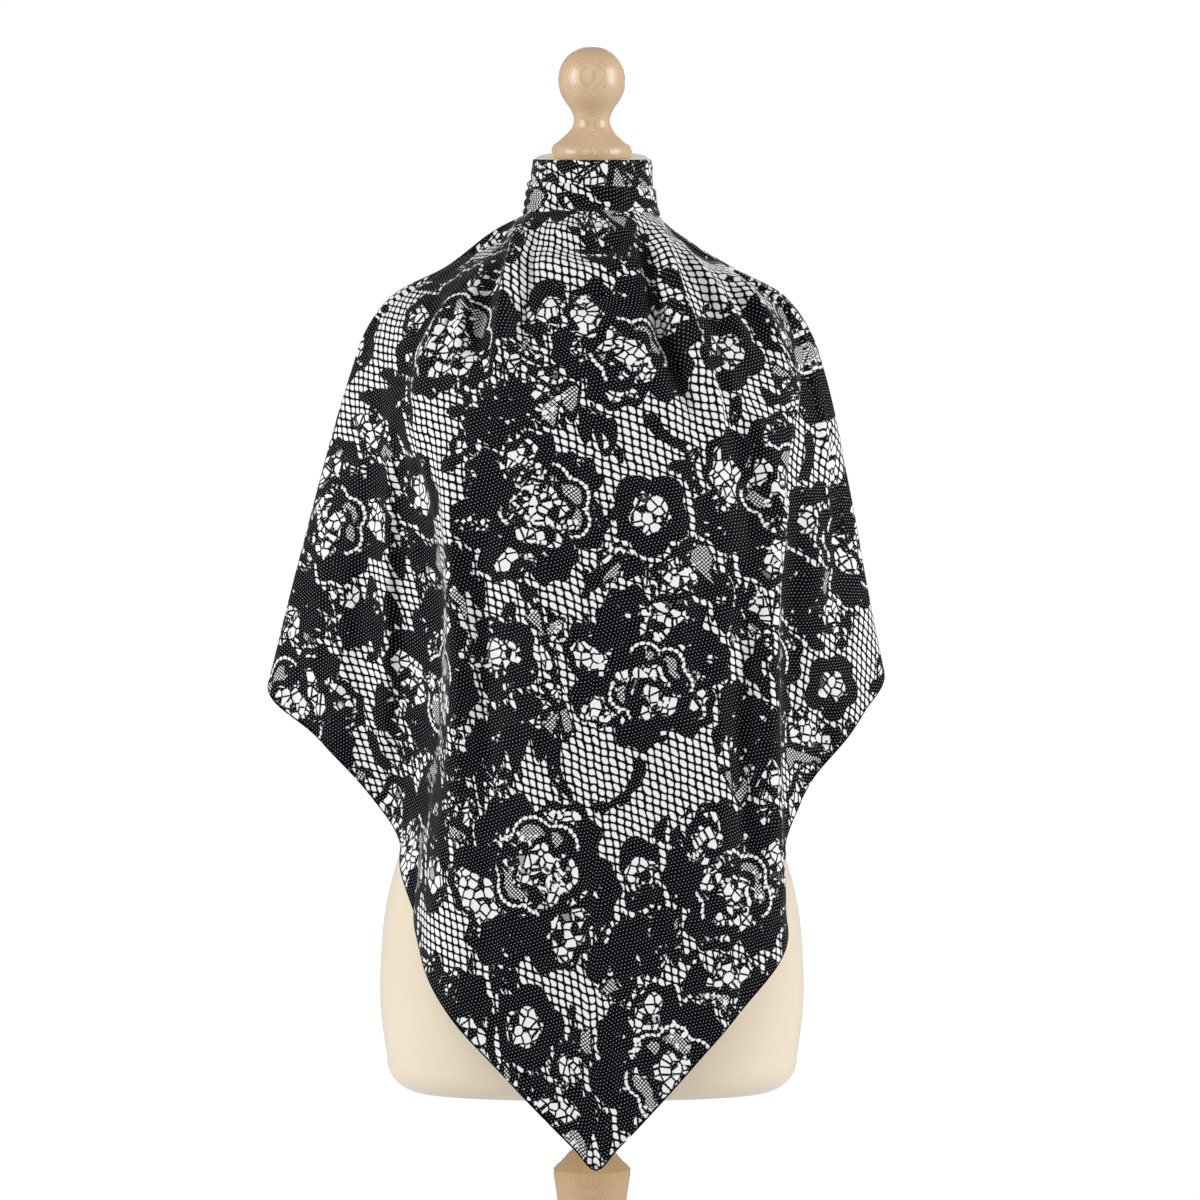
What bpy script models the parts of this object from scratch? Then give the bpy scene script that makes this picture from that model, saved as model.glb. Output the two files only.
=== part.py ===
"""A large silk scarf worn as a cape on a limbless dress form.

The square scarf is folded corner to corner. The fold is wound twice round the neck, one
corner hangs at the centre front, the cloth lies over both shoulders, and the two ends are
tied at the nape. Metres, +Z up, the front faces -Y, and the origin is on the floor under
the stand's pole.
"""
import math
from collections import namedtuple

import bmesh
import bpy
from mathutils import Vector
from mathutils.bvhtree import BVHTree

# Driving dimensions
WALL = 0.0014
GAP = 0.0003
CLEAR = 0.0006

BASE_RADIUS = 0.185
BASE_THICKNESS = 0.028
COLUMN_TOP = 0.5925
POLE_RADIUS = 0.0125
BODY_BOTTOM = 0.6425
BODY_CORNER = 0.028
SOCKET_RADIUS = 0.042
SOCKET_DEPTH = 0.022

NECK_PLATE_Z = 1.4170
NECK_SLANT = math.radians(12.0)
NECK_BAND_SLANT = math.radians(7.0)
KNOB_HEIGHT = 0.090

BODY_SIDES = 36
TURN_STEPS = 20
RING_STEPS = 40
CAPE_ROWS = 25
ROW_BIAS = 1.35

# The form's sections: height, half width, depth in front and behind, and squareness
Section = namedtuple("Section", "z half front back power")
BODY = (
    Section(0.672, 0.1700, 0.1045, 0.1155, 2.30),
    Section(0.700, 0.1740, 0.1070, 0.1210, 2.30),
    Section(0.750, 0.1750, 0.1080, 0.1250, 2.25),
    Section(0.800, 0.1700, 0.1070, 0.1220, 2.20),
    Section(0.850, 0.1560, 0.1020, 0.1080, 2.15),
    Section(0.900, 0.1360, 0.0940, 0.0920, 2.10),
    Section(0.960, 0.1180, 0.0870, 0.0800, 2.10),
    Section(1.010, 0.1210, 0.0950, 0.0850, 2.10),
    Section(1.060, 0.1320, 0.1130, 0.0900, 2.10),
    Section(1.120, 0.1440, 0.1300, 0.0940, 2.15),
    Section(1.170, 0.1490, 0.1220, 0.0970, 2.20),
    Section(1.220, 0.1550, 0.1040, 0.0990, 2.30),
    Section(1.255, 0.1600, 0.0890, 0.0960, 2.35),
    Section(1.282, 0.1560, 0.0760, 0.0900, 2.30),
    Section(1.302, 0.1360, 0.0670, 0.0800, 2.20),
    Section(1.322, 0.0980, 0.0590, 0.0700, 2.10),
    Section(1.342, 0.0640, 0.0520, 0.0600, 2.00),
    Section(1.362, 0.0500, 0.0475, 0.0520, 2.00),
    Section(1.388, 0.0466, 0.0458, 0.0470, 2.00),
)
BODY_NECK_TOP = (0.0466, 0.0462, 0.0466)

# Turned profiles as radius and height, each running down its outer side
KNOB_PROFILE = (
    (0.0000, KNOB_HEIGHT),
    (0.0085, 0.0887),
    (0.0160, 0.0848),
    (0.0224, 0.0776),
    (0.0258, 0.0690),
    (0.0265, 0.0612),
    (0.0250, 0.0535),
    (0.0208, 0.0456),
    (0.0160, 0.0388),
    (0.0136, 0.0322),
    (0.0142, 0.0264),
    (0.0182, 0.0206),
    (0.0256, 0.0144),
    (0.0312, 0.0092),
    (0.0324, 0.0054),
    (0.0314, 0.0012),
    (0.0298, 0.0000),
    (0.0000, 0.0000),
)
COLUMN_PROFILE = (
    (0.0180, COLUMN_TOP),
    (0.0200, 0.5900),
    (0.0250, 0.5840),
    (0.0305, 0.5790),
    (0.0322, 0.5765),
    (0.0318, 0.5730),
    (0.0287, 0.5510),
    (0.0255, 0.5150),
    (0.0232, 0.4600),
    (0.0228, 0.4000),
    (0.0245, 0.3200),
    (0.0285, 0.2300),
    (0.0325, 0.1500),
    (0.0335, 0.1100),
    (0.0300, 0.0900),
    (0.0345, 0.0820),
    (0.0410, 0.0680),
    (0.0470, 0.0500),
    (0.0490, 0.0340),
    (0.0480, BASE_THICKNESS + GAP),
    (0.0000, BASE_THICKNESS + GAP),
)
BASE_PROFILE = (
    (0.0000, BASE_THICKNESS),
    (0.0900, BASE_THICKNESS),
    (0.1500, 0.0250),
    (0.1700, 0.0235),
    (0.1790, 0.0195),
    (0.1835, 0.0140),
    (BASE_RADIUS, 0.0080),
    (0.1835, 0.0025),
    (0.1790, 0.0000),
    (0.0000, 0.0000),
)

# The cape's fold lines, each a path of x, y, z from under the neck roll down to the hem
Rib = namedtuple("Rib", "name path")
CENTRE = ((0.0000, -0.0540, 1.3680), (0.0000, -0.0700, 1.3480), (0.0000, -0.0950, 1.3120),
          (0.0000, -0.1200, 1.2500), (0.0010, -0.1345, 1.1700), (0.0010, -0.1400, 1.0800),
          (0.0020, -0.1420, 0.9500), (0.0030, -0.1430, 0.7800), (0.0034, -0.1430, 0.5955))
CORNER_STEP = 0.016


def beside_centre(aside):
    """The centre line moved aside, its hem end raised so that the corner stays square."""
    moved = [(x + aside * min(1.0, 0.55 + k * 0.15), y, z) for k, (x, y, z) in enumerate(CENTRE)]
    x, y, z = moved[-1]
    moved[-1] = (x, y, z + abs(aside))
    return tuple(moved)


RIBS = (
    Rib("left_nape", (
        (-0.0100, 0.0540, 1.3740), (-0.0180, 0.0660, 1.3600), (-0.0280, 0.0780, 1.3400),
    )),
    Rib("left_blade", (
        (-0.0220, 0.0500, 1.3730), (-0.0360, 0.0620, 1.3570), (-0.0580, 0.0800, 1.3280),
        (-0.0800, 0.0910, 1.2900), (-0.0960, 0.0960, 1.2350),
    )),
    Rib("left_back", (
        (-0.0350, 0.0430, 1.3720), (-0.0560, 0.0500, 1.3550), (-0.0900, 0.0640, 1.3230),
        (-0.1280, 0.0770, 1.2830), (-0.1530, 0.0860, 1.2250), (-0.1650, 0.0930, 1.1350),
    )),
    Rib("left_back_side", (
        (-0.0480, 0.0280, 1.3710), (-0.0750, 0.0270, 1.3520), (-0.1160, 0.0300, 1.3230),
        (-0.1620, 0.0360, 1.2880), (-0.1850, 0.0440, 1.2350), (-0.1990, 0.0520, 1.1700),
        (-0.2100, 0.0570, 1.1100), (-0.2220, 0.0580, 1.0350),
    )),
    Rib("left_outer", (
        (-0.0535, 0.0120, 1.3715), (-0.0800, 0.0100, 1.3575), (-0.1200, 0.0080, 1.3275),
        (-0.1710, 0.0060, 1.2980), (-0.1905, 0.0040, 1.2680), (-0.2005, 0.0040, 1.2380),
        (-0.2180, 0.0060, 1.1785), (-0.2338, 0.0100, 1.1187), (-0.2495, 0.0140, 1.0590),
        (-0.2700, 0.0200, 0.9743),
    )),
    Rib("left_front_side", (
        (-0.0545, 0.0020, 1.3710), (-0.0760, 0.0020, 1.3520), (-0.1200, -0.0030, 1.3240),
        (-0.1680, -0.0120, 1.2860), (-0.1880, -0.0200, 1.2300), (-0.1960, -0.0240, 1.1640),
        (-0.2020, -0.0240, 1.0980), (-0.2100, -0.0200, 1.0300), (-0.2225, 0.0010, 0.9300),
    )),
    Rib("left_valley", (
        (-0.0545, -0.0080, 1.3705), (-0.0720, -0.0130, 1.3510), (-0.1150, -0.0240, 1.3170),
        (-0.1540, -0.0380, 1.2800), (-0.1650, -0.0480, 1.2250), (-0.1570, -0.0500, 1.1640),
        (-0.1510, -0.0480, 1.0980), (-0.1530, -0.0420, 1.0300), (-0.1560, -0.0280, 0.9500),
        (-0.1680, -0.0060, 0.8660),
    )),
    Rib("left_ridge", (
        (-0.0480, -0.0280, 1.3695), (-0.0610, -0.0450, 1.3500), (-0.0870, -0.0720, 1.3130),
        (-0.1090, -0.0950, 1.2500), (-0.1190, -0.1100, 1.1700), (-0.1130, -0.1230, 1.0850),
        (-0.1050, -0.1300, 1.0000), (-0.1090, -0.1320, 0.8600), (-0.1210, -0.1260, 0.7270),
    )),
    Rib("left_front", (
        (-0.0290, -0.0470, 1.3685), (-0.0370, -0.0640, 1.3480), (-0.0480, -0.0900, 1.3110),
        (-0.0560, -0.1140, 1.2500), (-0.0600, -0.1300, 1.1700), (-0.0600, -0.1370, 1.0800),
        (-0.0580, -0.1390, 0.9500), (-0.0580, -0.1400, 0.8200), (-0.0605, -0.1390, 0.6600),
    )),
    Rib("centre_left", beside_centre(-CORNER_STEP)),
    Rib("centre", CENTRE),
    Rib("centre_right", beside_centre(CORNER_STEP)),
    Rib("right_front", (
        (0.0290, -0.0470, 1.3685), (0.0370, -0.0640, 1.3480), (0.0490, -0.0900, 1.3110),
        (0.0580, -0.1130, 1.2500), (0.0610, -0.1300, 1.1700), (0.0620, -0.1370, 1.0800),
        (0.0620, -0.1390, 0.9500), (0.0630, -0.1400, 0.8200), (0.0655, -0.1380, 0.6600),
    )),
    Rib("right_side", (
        (0.0410, -0.0370, 1.3690), (0.0520, -0.0540, 1.3490), (0.0760, -0.0780, 1.3150),
        (0.1010, -0.0970, 1.2500), (0.1080, -0.1140, 1.1700), (0.1060, -0.1270, 1.0800),
        (0.1060, -0.1340, 0.9500), (0.1090, -0.1340, 0.8300), (0.1130, -0.1300, 0.7140),
    )),
    Rib("right_ridge", (
        (0.0480, -0.0250, 1.3695), (0.0630, -0.0380, 1.3490), (0.1020, -0.0520, 1.3180),
        (0.1450, -0.0580, 1.2830), (0.1690, -0.0640, 1.2290), (0.1610, -0.0830, 1.1720),
        (0.1500, -0.1020, 1.1130), (0.1440, -0.1160, 1.0490), (0.1430, -0.1220, 0.9500),
        (0.1470, -0.1190, 0.8600), (0.1570, -0.1060, 0.7700),
    )),
    Rib("right_valley", (
        (0.0520, -0.0070, 1.3705), (0.0680, -0.0120, 1.3500), (0.1120, -0.0200, 1.3190),
        (0.1540, -0.0320, 1.2810), (0.1660, -0.0440, 1.2290), (0.1550, -0.0520, 1.1720),
        (0.1450, -0.0580, 1.1130), (0.1400, -0.0620, 1.0490), (0.1390, -0.0620, 0.9500),
        (0.1420, -0.0570, 0.8700), (0.1500, -0.0500, 0.8150),
    )),
    Rib("right_front_side", (
        (0.0525, 0.0030, 1.3710), (0.0700, 0.0030, 1.3510), (0.1150, 0.0010, 1.3240),
        (0.1600, -0.0060, 1.2860), (0.1780, -0.0120, 1.2290), (0.1840, -0.0140, 1.1720),
        (0.1860, -0.0130, 1.1130), (0.1860, -0.0090, 1.0490), (0.1840, -0.0020, 0.9600),
        (0.1820, 0.0010, 0.8970),
    )),
    Rib("right_front_outer", (
        (0.0525, 0.0080, 1.3715), (0.0695, 0.0080, 1.3550), (0.1140, 0.0060, 1.3270),
        (0.1640, 0.0010, 1.2950), (0.1890, -0.0030, 1.2350), (0.2010, 0.0000, 1.1760),
        (0.2090, 0.0050, 1.1160), (0.2170, 0.0120, 1.0560), (0.2290, 0.0240, 0.9560),
    )),
    Rib("right_outer", (
        (0.0515, 0.0140, 1.3715), (0.0680, 0.0130, 1.3575), (0.1143, 0.0110, 1.3275),
        (0.1645, 0.0100, 1.2980), (0.1838, 0.0110, 1.2680), (0.1937, 0.0130, 1.2380),
        (0.2078, 0.0190, 1.1785), (0.2194, 0.0270, 1.1187), (0.2302, 0.0350, 1.0590),
        (0.2455, 0.0470, 0.9840),
    )),
    Rib("right_back_side", (
        (0.0470, 0.0290, 1.3710), (0.0720, 0.0290, 1.3520), (0.1120, 0.0340, 1.3220),
        (0.1560, 0.0420, 1.2870), (0.1770, 0.0530, 1.2350), (0.1880, 0.0640, 1.1700),
        (0.1960, 0.0740, 1.1100), (0.2040, 0.0840, 1.0450),
    )),
    Rib("right_back", (
        (0.0350, 0.0430, 1.3720), (0.0560, 0.0500, 1.3550), (0.0890, 0.0650, 1.3230),
        (0.1230, 0.0790, 1.2830), (0.1450, 0.0900, 1.2250), (0.1540, 0.1010, 1.1400),
    )),
    Rib("right_blade", (
        (0.0220, 0.0500, 1.3730), (0.0360, 0.0620, 1.3570), (0.0570, 0.0800, 1.3280),
        (0.0780, 0.0920, 1.2900), (0.0910, 0.0970, 1.2400),
    )),
    Rib("right_nape", (
        (0.0100, 0.0540, 1.3740), (0.0180, 0.0660, 1.3600), (0.0270, 0.0780, 1.3420),
    )),
)

# How many strips of faces lie between each rib and the next
RIB_STEPS = (2, 3, 3, 4, 4, 3, 4, 4, 3, 1, 1, 3, 3, 4, 4, 3, 3, 3, 4, 3, 3, 2)
LEFT_SEAM = "left_valley"
RIGHT_SEAM = "right_valley"

# The largest creases, seen from the front as x and z along each, with how far the cloth
# stands out there and how wide the crease is
Crease = namedtuple("Crease", "name path height width")
CREASES = (
    Crease("neck_right_ridge", ((0.048, 1.362), (0.054, 1.325), (0.061, 1.300), (0.076, 1.253),
                                (0.088, 1.213), (0.096, 1.180)), 0.0080, 0.010),
    Crease("neck_right_trough", ((0.038, 1.340), (0.041, 1.310), (0.047, 1.280), (0.058, 1.240)),
           -0.0060, 0.010),
    Crease("neck_left_ridge", ((-0.056, 1.362), (-0.064, 1.334), (-0.070, 1.302), (-0.074, 1.260)),
           0.0060, 0.010),
    Crease("neck_left_trough", ((-0.066, 1.352), (-0.078, 1.325), (-0.084, 1.290)), -0.0040, 0.010),
    Crease("cowl_upper", ((-0.030, 1.350), (0.000, 1.342), (0.028, 1.348)), 0.0050, 0.008),
    Crease("cowl_lower", ((-0.045, 1.318), (0.000, 1.306), (0.036, 1.314)), 0.0055, 0.011),
    Crease("left_shoulder", ((-0.105, 1.300), (-0.128, 1.262), (-0.142, 1.215)), 0.0040, 0.012),
    Crease("right_shoulder", ((0.070, 1.312), (0.082, 1.276), (0.092, 1.240)), 0.0035, 0.009),
    Crease("left_fall", ((-0.088, 1.080), (-0.082, 0.980), (-0.084, 0.880)), -0.0050, 0.014),
    Crease("right_fall", ((0.122, 1.020), (0.120, 0.920), (0.128, 0.820)), -0.0045, 0.014),
    Crease("right_wing_fold", ((0.202, 1.170), (0.205, 1.090), (0.204, 1.000)), -0.0045, 0.012),
    Crease("left_wing_fold", ((-0.182, 1.180), (-0.190, 1.090), (-0.197, 0.990)), -0.0040, 0.014),
)

# The two turns round the neck: lower and upper edge, clear half width, front and back,
# then thickness, number of slanting pleats, their depth and how far they twist
BAND_HEIGHTS = (1.3945, 1.4150)
BAND_LOW_OVAL = (0.0477, 0.0468, 0.0482)
BAND_PLEATS = (0.0030, 3, 0.0003, 0.3)
ROLL_HEIGHTS = (1.3735, 1.3940)
ROLL_LOW_OVAL = (0.0510, 0.0492, 0.0535)
ROLL_TOP_OVAL = (0.0485, 0.0475, 0.0488)
ROLL_PLEATS = (0.0048, 5, 0.0009, 0.8)

# The two tied ends behind, each from the knot down
TailRow = namedtuple("TailRow", "drop x width y")
TAIL_LEFT = (
    TailRow(0.000, -0.0095, 0.014, 0.0790),
    TailRow(0.030, -0.0180, 0.030, 0.0930),
    TailRow(0.075, -0.0310, 0.054, 0.1060),
    TailRow(0.130, -0.0400, 0.070, 0.1110),
    TailRow(0.185, -0.0450, 0.060, 0.1130),
    TailRow(0.235, -0.0520, 0.030, 0.1140),
    TailRow(0.268, -0.0580, 0.004, 0.1150),
)
TAIL_RIGHT = (
    TailRow(0.000, 0.0095, 0.014, 0.0800),
    TailRow(0.030, 0.0190, 0.032, 0.0950),
    TailRow(0.070, 0.0320, 0.056, 0.1080),
    TailRow(0.115, 0.0380, 0.066, 0.1120),
    TailRow(0.160, 0.0440, 0.054, 0.1140),
    TailRow(0.205, 0.0510, 0.026, 0.1150),
    TailRow(0.232, 0.0560, 0.004, 0.1160),
)
TAIL_TOP = 1.3560
TAIL_ROWS = 14
TAIL_STEPS = 8
TAIL_FOLD_DEPTH = 0.005
KNOT_CENTRE = (0.0, 0.0820, 1.3870)
KNOT_SIZE = (0.0250, 0.0165, 0.0185)

# Colour, roughness and metallic value of each material
MATERIALS = {
    "scarf_silk": ((0.46, 0.45, 0.43), 0.50, 0.0),
    "cream_jersey": ((0.86, 0.78, 0.66), 0.90, 0.0),
    "varnished_beech": ((0.66, 0.44, 0.25), 0.35, 0.0),
    "steel_pole": ((0.60, 0.60, 0.60), 0.30, 1.0),
}


def clear_scene():
    for item in list(bpy.data.objects):
        bpy.data.objects.remove(item, do_unlink=True)


def make_collection(name):
    collection = bpy.data.collections.new(name)
    bpy.context.scene.collection.children.link(collection)
    return collection


def material(name):
    """The named Principled material, made once."""
    found = bpy.data.materials.get(name)
    if found:
        return found
    colour, roughness, metallic = MATERIALS[name]
    made = bpy.data.materials.new(name)
    made.use_nodes = True
    shader = made.node_tree.nodes["Principled BSDF"]
    shader.inputs["Base Color"].default_value = (*colour, 1.0)
    shader.inputs["Roughness"].default_value = roughness
    shader.inputs["Metallic"].default_value = metallic
    made.diffuse_color = (*colour, 1.0)
    return made


def add_object(name, mesh, collection, material_name):
    made = bpy.data.objects.new(name, mesh)
    collection.objects.link(made)
    mesh.materials.append(material(material_name))
    return made


def spline(points, t):
    """A point on a smooth curve through the points, with t from 0 to 1 by length."""
    points = [Vector(p) for p in points]
    chords = [(b - a).length for a, b in zip(points, points[1:])]
    target = t * sum(chords)
    index = 0
    while index < len(chords) - 1 and target > chords[index]:
        target -= chords[index]
        index += 1
    return between(points, chords, index, target / chords[index])


def between(points, chords, index, share):
    """A point on the smooth curve, part of the way along one of its stretches."""
    start, end = points[index], points[index + 1]
    step = chords[index]
    out = (end - start) / step
    into = out
    if index > 0:
        out = tangent(points, chords, index)
    if index < len(chords) - 1:
        into = tangent(points, chords, index + 1)
    s2, s3 = share * share, share ** 3
    return ((2 * s3 - 3 * s2 + 1) * start + (s3 - 2 * s2 + share) * step * out
            + (3 * s2 - 2 * s3) * end + (s3 - s2) * step * into)


def tangent(points, chords, index):
    """The curve's direction at a point between two stretches, weighted to the shorter."""
    before, after = chords[index - 1], chords[index]
    back = (points[index] - points[index - 1]) / before
    ahead = (points[index + 1] - points[index]) / after
    return (back * after + ahead * before) / (before + after)


def loft(rings, closed_ends):
    """A mesh through rings of points, with a flat cap on each end if asked."""
    shape = bmesh.new()
    rows = [[shape.verts.new(p) for p in ring] for ring in rings]
    for lower, upper in zip(rows, rows[1:]):
        for i in range(len(lower)):
            j = (i + 1) % len(lower)
            shape.faces.new((lower[i], lower[j], upper[j], upper[i]))
    if closed_ends:
        shape.faces.new(list(reversed(rows[0])))
        shape.faces.new(rows[-1])
    bmesh.ops.recalc_face_normals(shape, faces=shape.faces)
    mesh = bpy.data.meshes.new("loft")
    shape.to_mesh(mesh)
    shape.free()
    return mesh


def body_ring(z, half, front, back, power, slant=0.0):
    """One section of the form, seen from above as a rounded oval."""
    ring = []
    for i in range(BODY_SIDES):
        turn = 2 * math.pi * i / BODY_SIDES
        c, s = math.cos(turn), math.sin(turn)
        x = half * math.copysign(abs(c) ** (2 / power), c)
        y = (back if s > 0 else front) * math.copysign(abs(s) ** (2 / power), s)
        ring.append((x, y, z + y * math.tan(slant)))
    return ring


def make_body(collection):
    rings = []
    first = BODY[0]
    for step in range(5):
        turn = math.radians(step * 18.0)
        inset = BODY_CORNER * (1 - math.sin(turn))
        z = BODY_BOTTOM + BODY_CORNER * (1 - math.cos(turn))
        rings.append(body_ring(z, first.half - inset, first.front - inset, first.back - inset, first.power))
    for row in BODY:
        rings.append(body_ring(*row))
    lift = 0.45 * NECK_SLANT
    rings.append(body_ring(NECK_PLATE_Z - 0.015, *BODY_NECK_TOP, 2.0, lift))
    rings.append(body_ring(NECK_PLATE_Z - 0.0015, *BODY_NECK_TOP, 2.0, NECK_SLANT))
    top = [r - 0.0015 for r in BODY_NECK_TOP]
    rings.append(body_ring(NECK_PLATE_Z, *top, 2.0, NECK_SLANT))
    body = add_object("form_body", loft(rings, True), collection, "cream_jersey")
    body.data.shade_smooth()
    body.data.set_sharp_from_angle(angle=math.radians(40))
    return body


def turned(name, profile, collection, material_name):
    """A piece turned on a lathe: its profile, swept round the Z axis."""
    mesh = bpy.data.meshes.new(name)
    points = [(radius, 0.0, z) for radius, z in profile]
    mesh.from_pydata(points, [(i, i + 1) for i in range(len(points) - 1)], [])
    piece = add_object(name, mesh, collection, material_name)
    screw = piece.modifiers.new("turned", "SCREW")
    screw.axis = "Z"
    screw.steps = TURN_STEPS
    screw.render_steps = TURN_STEPS
    screw.use_merge_vertices = True
    screw.merge_threshold = 0.0001
    screw.use_smooth_shade = True
    return piece


def make_stand(collection):
    turned("stand_base", BASE_PROFILE, collection, "varnished_beech")
    closed_column = ((0.0, COLUMN_TOP),) + COLUMN_PROFILE
    turned("stand_column", closed_column, collection, "varnished_beech")
    socket_top = BODY_BOTTOM - GAP
    socket_bottom = socket_top - SOCKET_DEPTH
    socket_profile = (
        (0.0, socket_top),
        (SOCKET_RADIUS, socket_top),
        (SOCKET_RADIUS, socket_top - 0.004),
        (SOCKET_RADIUS * 0.55, socket_top - 0.008),
        (SOCKET_RADIUS * 0.50, socket_bottom),
        (0.0, socket_bottom),
    )
    turned("stand_socket", socket_profile, collection, "steel_pole")
    bottom, top = COLUMN_TOP + GAP, socket_bottom - GAP
    bpy.ops.mesh.primitive_cylinder_add(
        vertices=TURN_STEPS, radius=POLE_RADIUS, depth=top - bottom,
        location=(0.0, 0.0, (top + bottom) / 2))
    pole = bpy.context.object
    pole.name = "stand_pole"
    pole.data.materials.append(material("steel_pole"))
    for owner in list(pole.users_collection):
        owner.objects.unlink(pole)
    collection.objects.link(pole)


def make_knob(collection):
    knob = turned("form_knob", KNOB_PROFILE, collection, "varnished_beech")
    lift = GAP / math.cos(NECK_SLANT)
    knob.location = (0.0, 0.0, NECK_PLATE_Z + lift)
    knob.rotation_euler = (NECK_SLANT, 0.0, 0.0)


def fold_push(x, z):
    """How far the creases move the cloth out at a place seen from the front."""
    push = 0.0
    for crease in CREASES:
        near, along = distance_to_path(x, z, crease.path)
        fade = max(0.0, math.sin(math.pi * along)) ** 0.6
        push += crease.height * fade * math.exp(-(near / crease.width) ** 2)
    return push


def distance_to_path(x, z, path):
    """The distance to the nearest point of a path, and how far along it that is."""
    place = Vector((x, z))
    points = [Vector(p) for p in path]
    total = sum((b - a).length for a, b in zip(points, points[1:]))
    best, best_along, walked = 1.0, 0.0, 0.0
    for a, b in zip(points, points[1:]):
        run = b - a
        share = min(1.0, max(0.0, (place - a).dot(run) / run.length_squared))
        near = (place - a - share * run).length
        if near < best:
            best, best_along = near, (walked + share * run.length) / total
        walked += run.length
    return best, best_along


def cape_grid():
    """Rows of points of the whole cape, from the neck to the hem, nape to nape."""
    stations = [(pair, k / count) for pair, count in enumerate(RIB_STEPS) for k in range(count)]
    stations.append((len(RIB_STEPS) - 1, 1.0))
    grid = []
    for row in range(CAPE_ROWS + 1):
        down = (row / CAPE_ROWS) ** ROW_BIAS
        places = [spline(rib.path, down) for rib in RIBS]
        chords = [(b - a).length for a, b in zip(places, places[1:])]
        grid.append([between(places, chords, pair, share) for pair, share in stations])
    return grid


def rib_column(name):
    """The grid column that runs down the named rib."""
    index = [rib.name for rib in RIBS].index(name)
    return sum(RIB_STEPS[:index])


def grid_normals(grid):
    """The outward direction at each point of a grid, away from the form's axis."""
    normals = []
    for r, line in enumerate(grid):
        row = []
        for c in range(len(line)):
            across = line[min(c + 1, len(line) - 1)] - line[max(c - 1, 0)]
            down = grid[min(r + 1, len(grid) - 1)][c] - grid[max(r - 1, 0)][c]
            normal = down.cross(across)
            row.append(normal.normalized() if normal.length > 1e-12 else Vector((0, 0, 1)))
        normals.append(row)
    return normals


def crease_front(grid):
    """Moves the front's points out along the cloth by the creases."""
    normals = grid_normals(grid)
    for line, directions in zip(grid, normals):
        for c, point in enumerate(line):
            if point.y < 0.03:
                line[c] = point + directions[c] * fold_push(point.x, point.z)


def clear_shortfall(point, tree, clearance):
    """The move that brings a point clear of a solid, or none where it already is."""
    near, normal, _, _ = tree.find_nearest(point)
    depth = (point - near).dot(normal)
    return normal * max(0.0, clearance - depth)


def push_clear(grid, tree, clearance):
    """Moves points out until they, and the middles of their faces, are clear of a solid."""
    for line in grid:
        for c, point in enumerate(line):
            line[c] = point + clear_shortfall(point, tree, clearance)
    for _ in range(3):
        push_faces(grid, tree, clearance)


def push_faces(grid, tree, clearance):
    """Moves out the corners of each face whose middle or edges come too near a solid."""
    for r in range(len(grid) - 1):
        for c in range(len(grid[0]) - 1):
            corners = ((r, c), (r + 1, c), (r + 1, c + 1), (r, c + 1))
            places = [grid[i][j] for i, j in corners]
            tests = [(a + b) / 2 for a, b in zip(places, places[1:] + places[:1])]
            tests.append(sum(places, Vector()) / 4)
            moves = [clear_shortfall(test, tree, clearance) for test in tests]
            move = max(moves, key=lambda m: m.length)
            for i, j in corners:
                grid[i][j] = grid[i][j] + move


def part_edges(grid, first, last):
    """Draws the first and last columns in, so that neighbours keep their seam gap."""
    for line in grid:
        if first:
            line[0] = line[0] + (line[1] - line[0]).normalized() * GAP
        if last:
            line[-1] = line[-1] + (line[-2] - line[-1]).normalized() * GAP


def grid_surface(name, grid, collection):
    """An open sheet through a grid of points, thickened inwards into a wall."""
    shape = bmesh.new()
    rows = [[shape.verts.new(p) for p in line] for line in grid]
    for upper, lower in zip(rows, rows[1:]):
        for i in range(len(upper) - 1):
            shape.faces.new((upper[i], lower[i], lower[i + 1], upper[i + 1]))
    mesh = bpy.data.meshes.new(name)
    shape.to_mesh(mesh)
    shape.free()
    mesh.shade_smooth()
    sheet = add_object(name, mesh, collection, "scarf_silk")
    thick = sheet.modifiers.new("cloth", "SOLIDIFY")
    thick.thickness = WALL
    thick.offset = -1.0
    thick.use_even_offset = False
    return sheet


def solid_tree(item):
    """A search tree of an object's evaluated faces in world space."""
    graph = bpy.context.evaluated_depsgraph_get()
    graph.update()
    shown = item.evaluated_get(graph)
    mesh = shown.to_mesh()
    points = [item.matrix_world @ v.co for v in mesh.vertices]
    tree = BVHTree.FromPolygons(points, [tuple(p.vertices) for p in mesh.polygons])
    shown.to_mesh_clear()
    return tree


def make_cape(collection, body):
    """The cape's three stretches, cut from one grid so that their seams follow each other."""
    grid = cape_grid()
    crease_front(grid)
    push_clear(grid, solid_tree(body), CLEAR + WALL)
    left, right = rib_column(LEFT_SEAM), rib_column(RIGHT_SEAM)
    stretches = (
        ("scarf_left_wing", 0, left, False, True),
        ("scarf_front_fall", left, right, True, True),
        ("scarf_right_wing", right, len(grid[0]) - 1, True, False),
    )
    for name, first, last, seam_first, seam_last in stretches:
        part = [line[first:last + 1] for line in grid]
        part_edges(part, seam_first, seam_last)
        grid_surface(name, part, collection)


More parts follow.
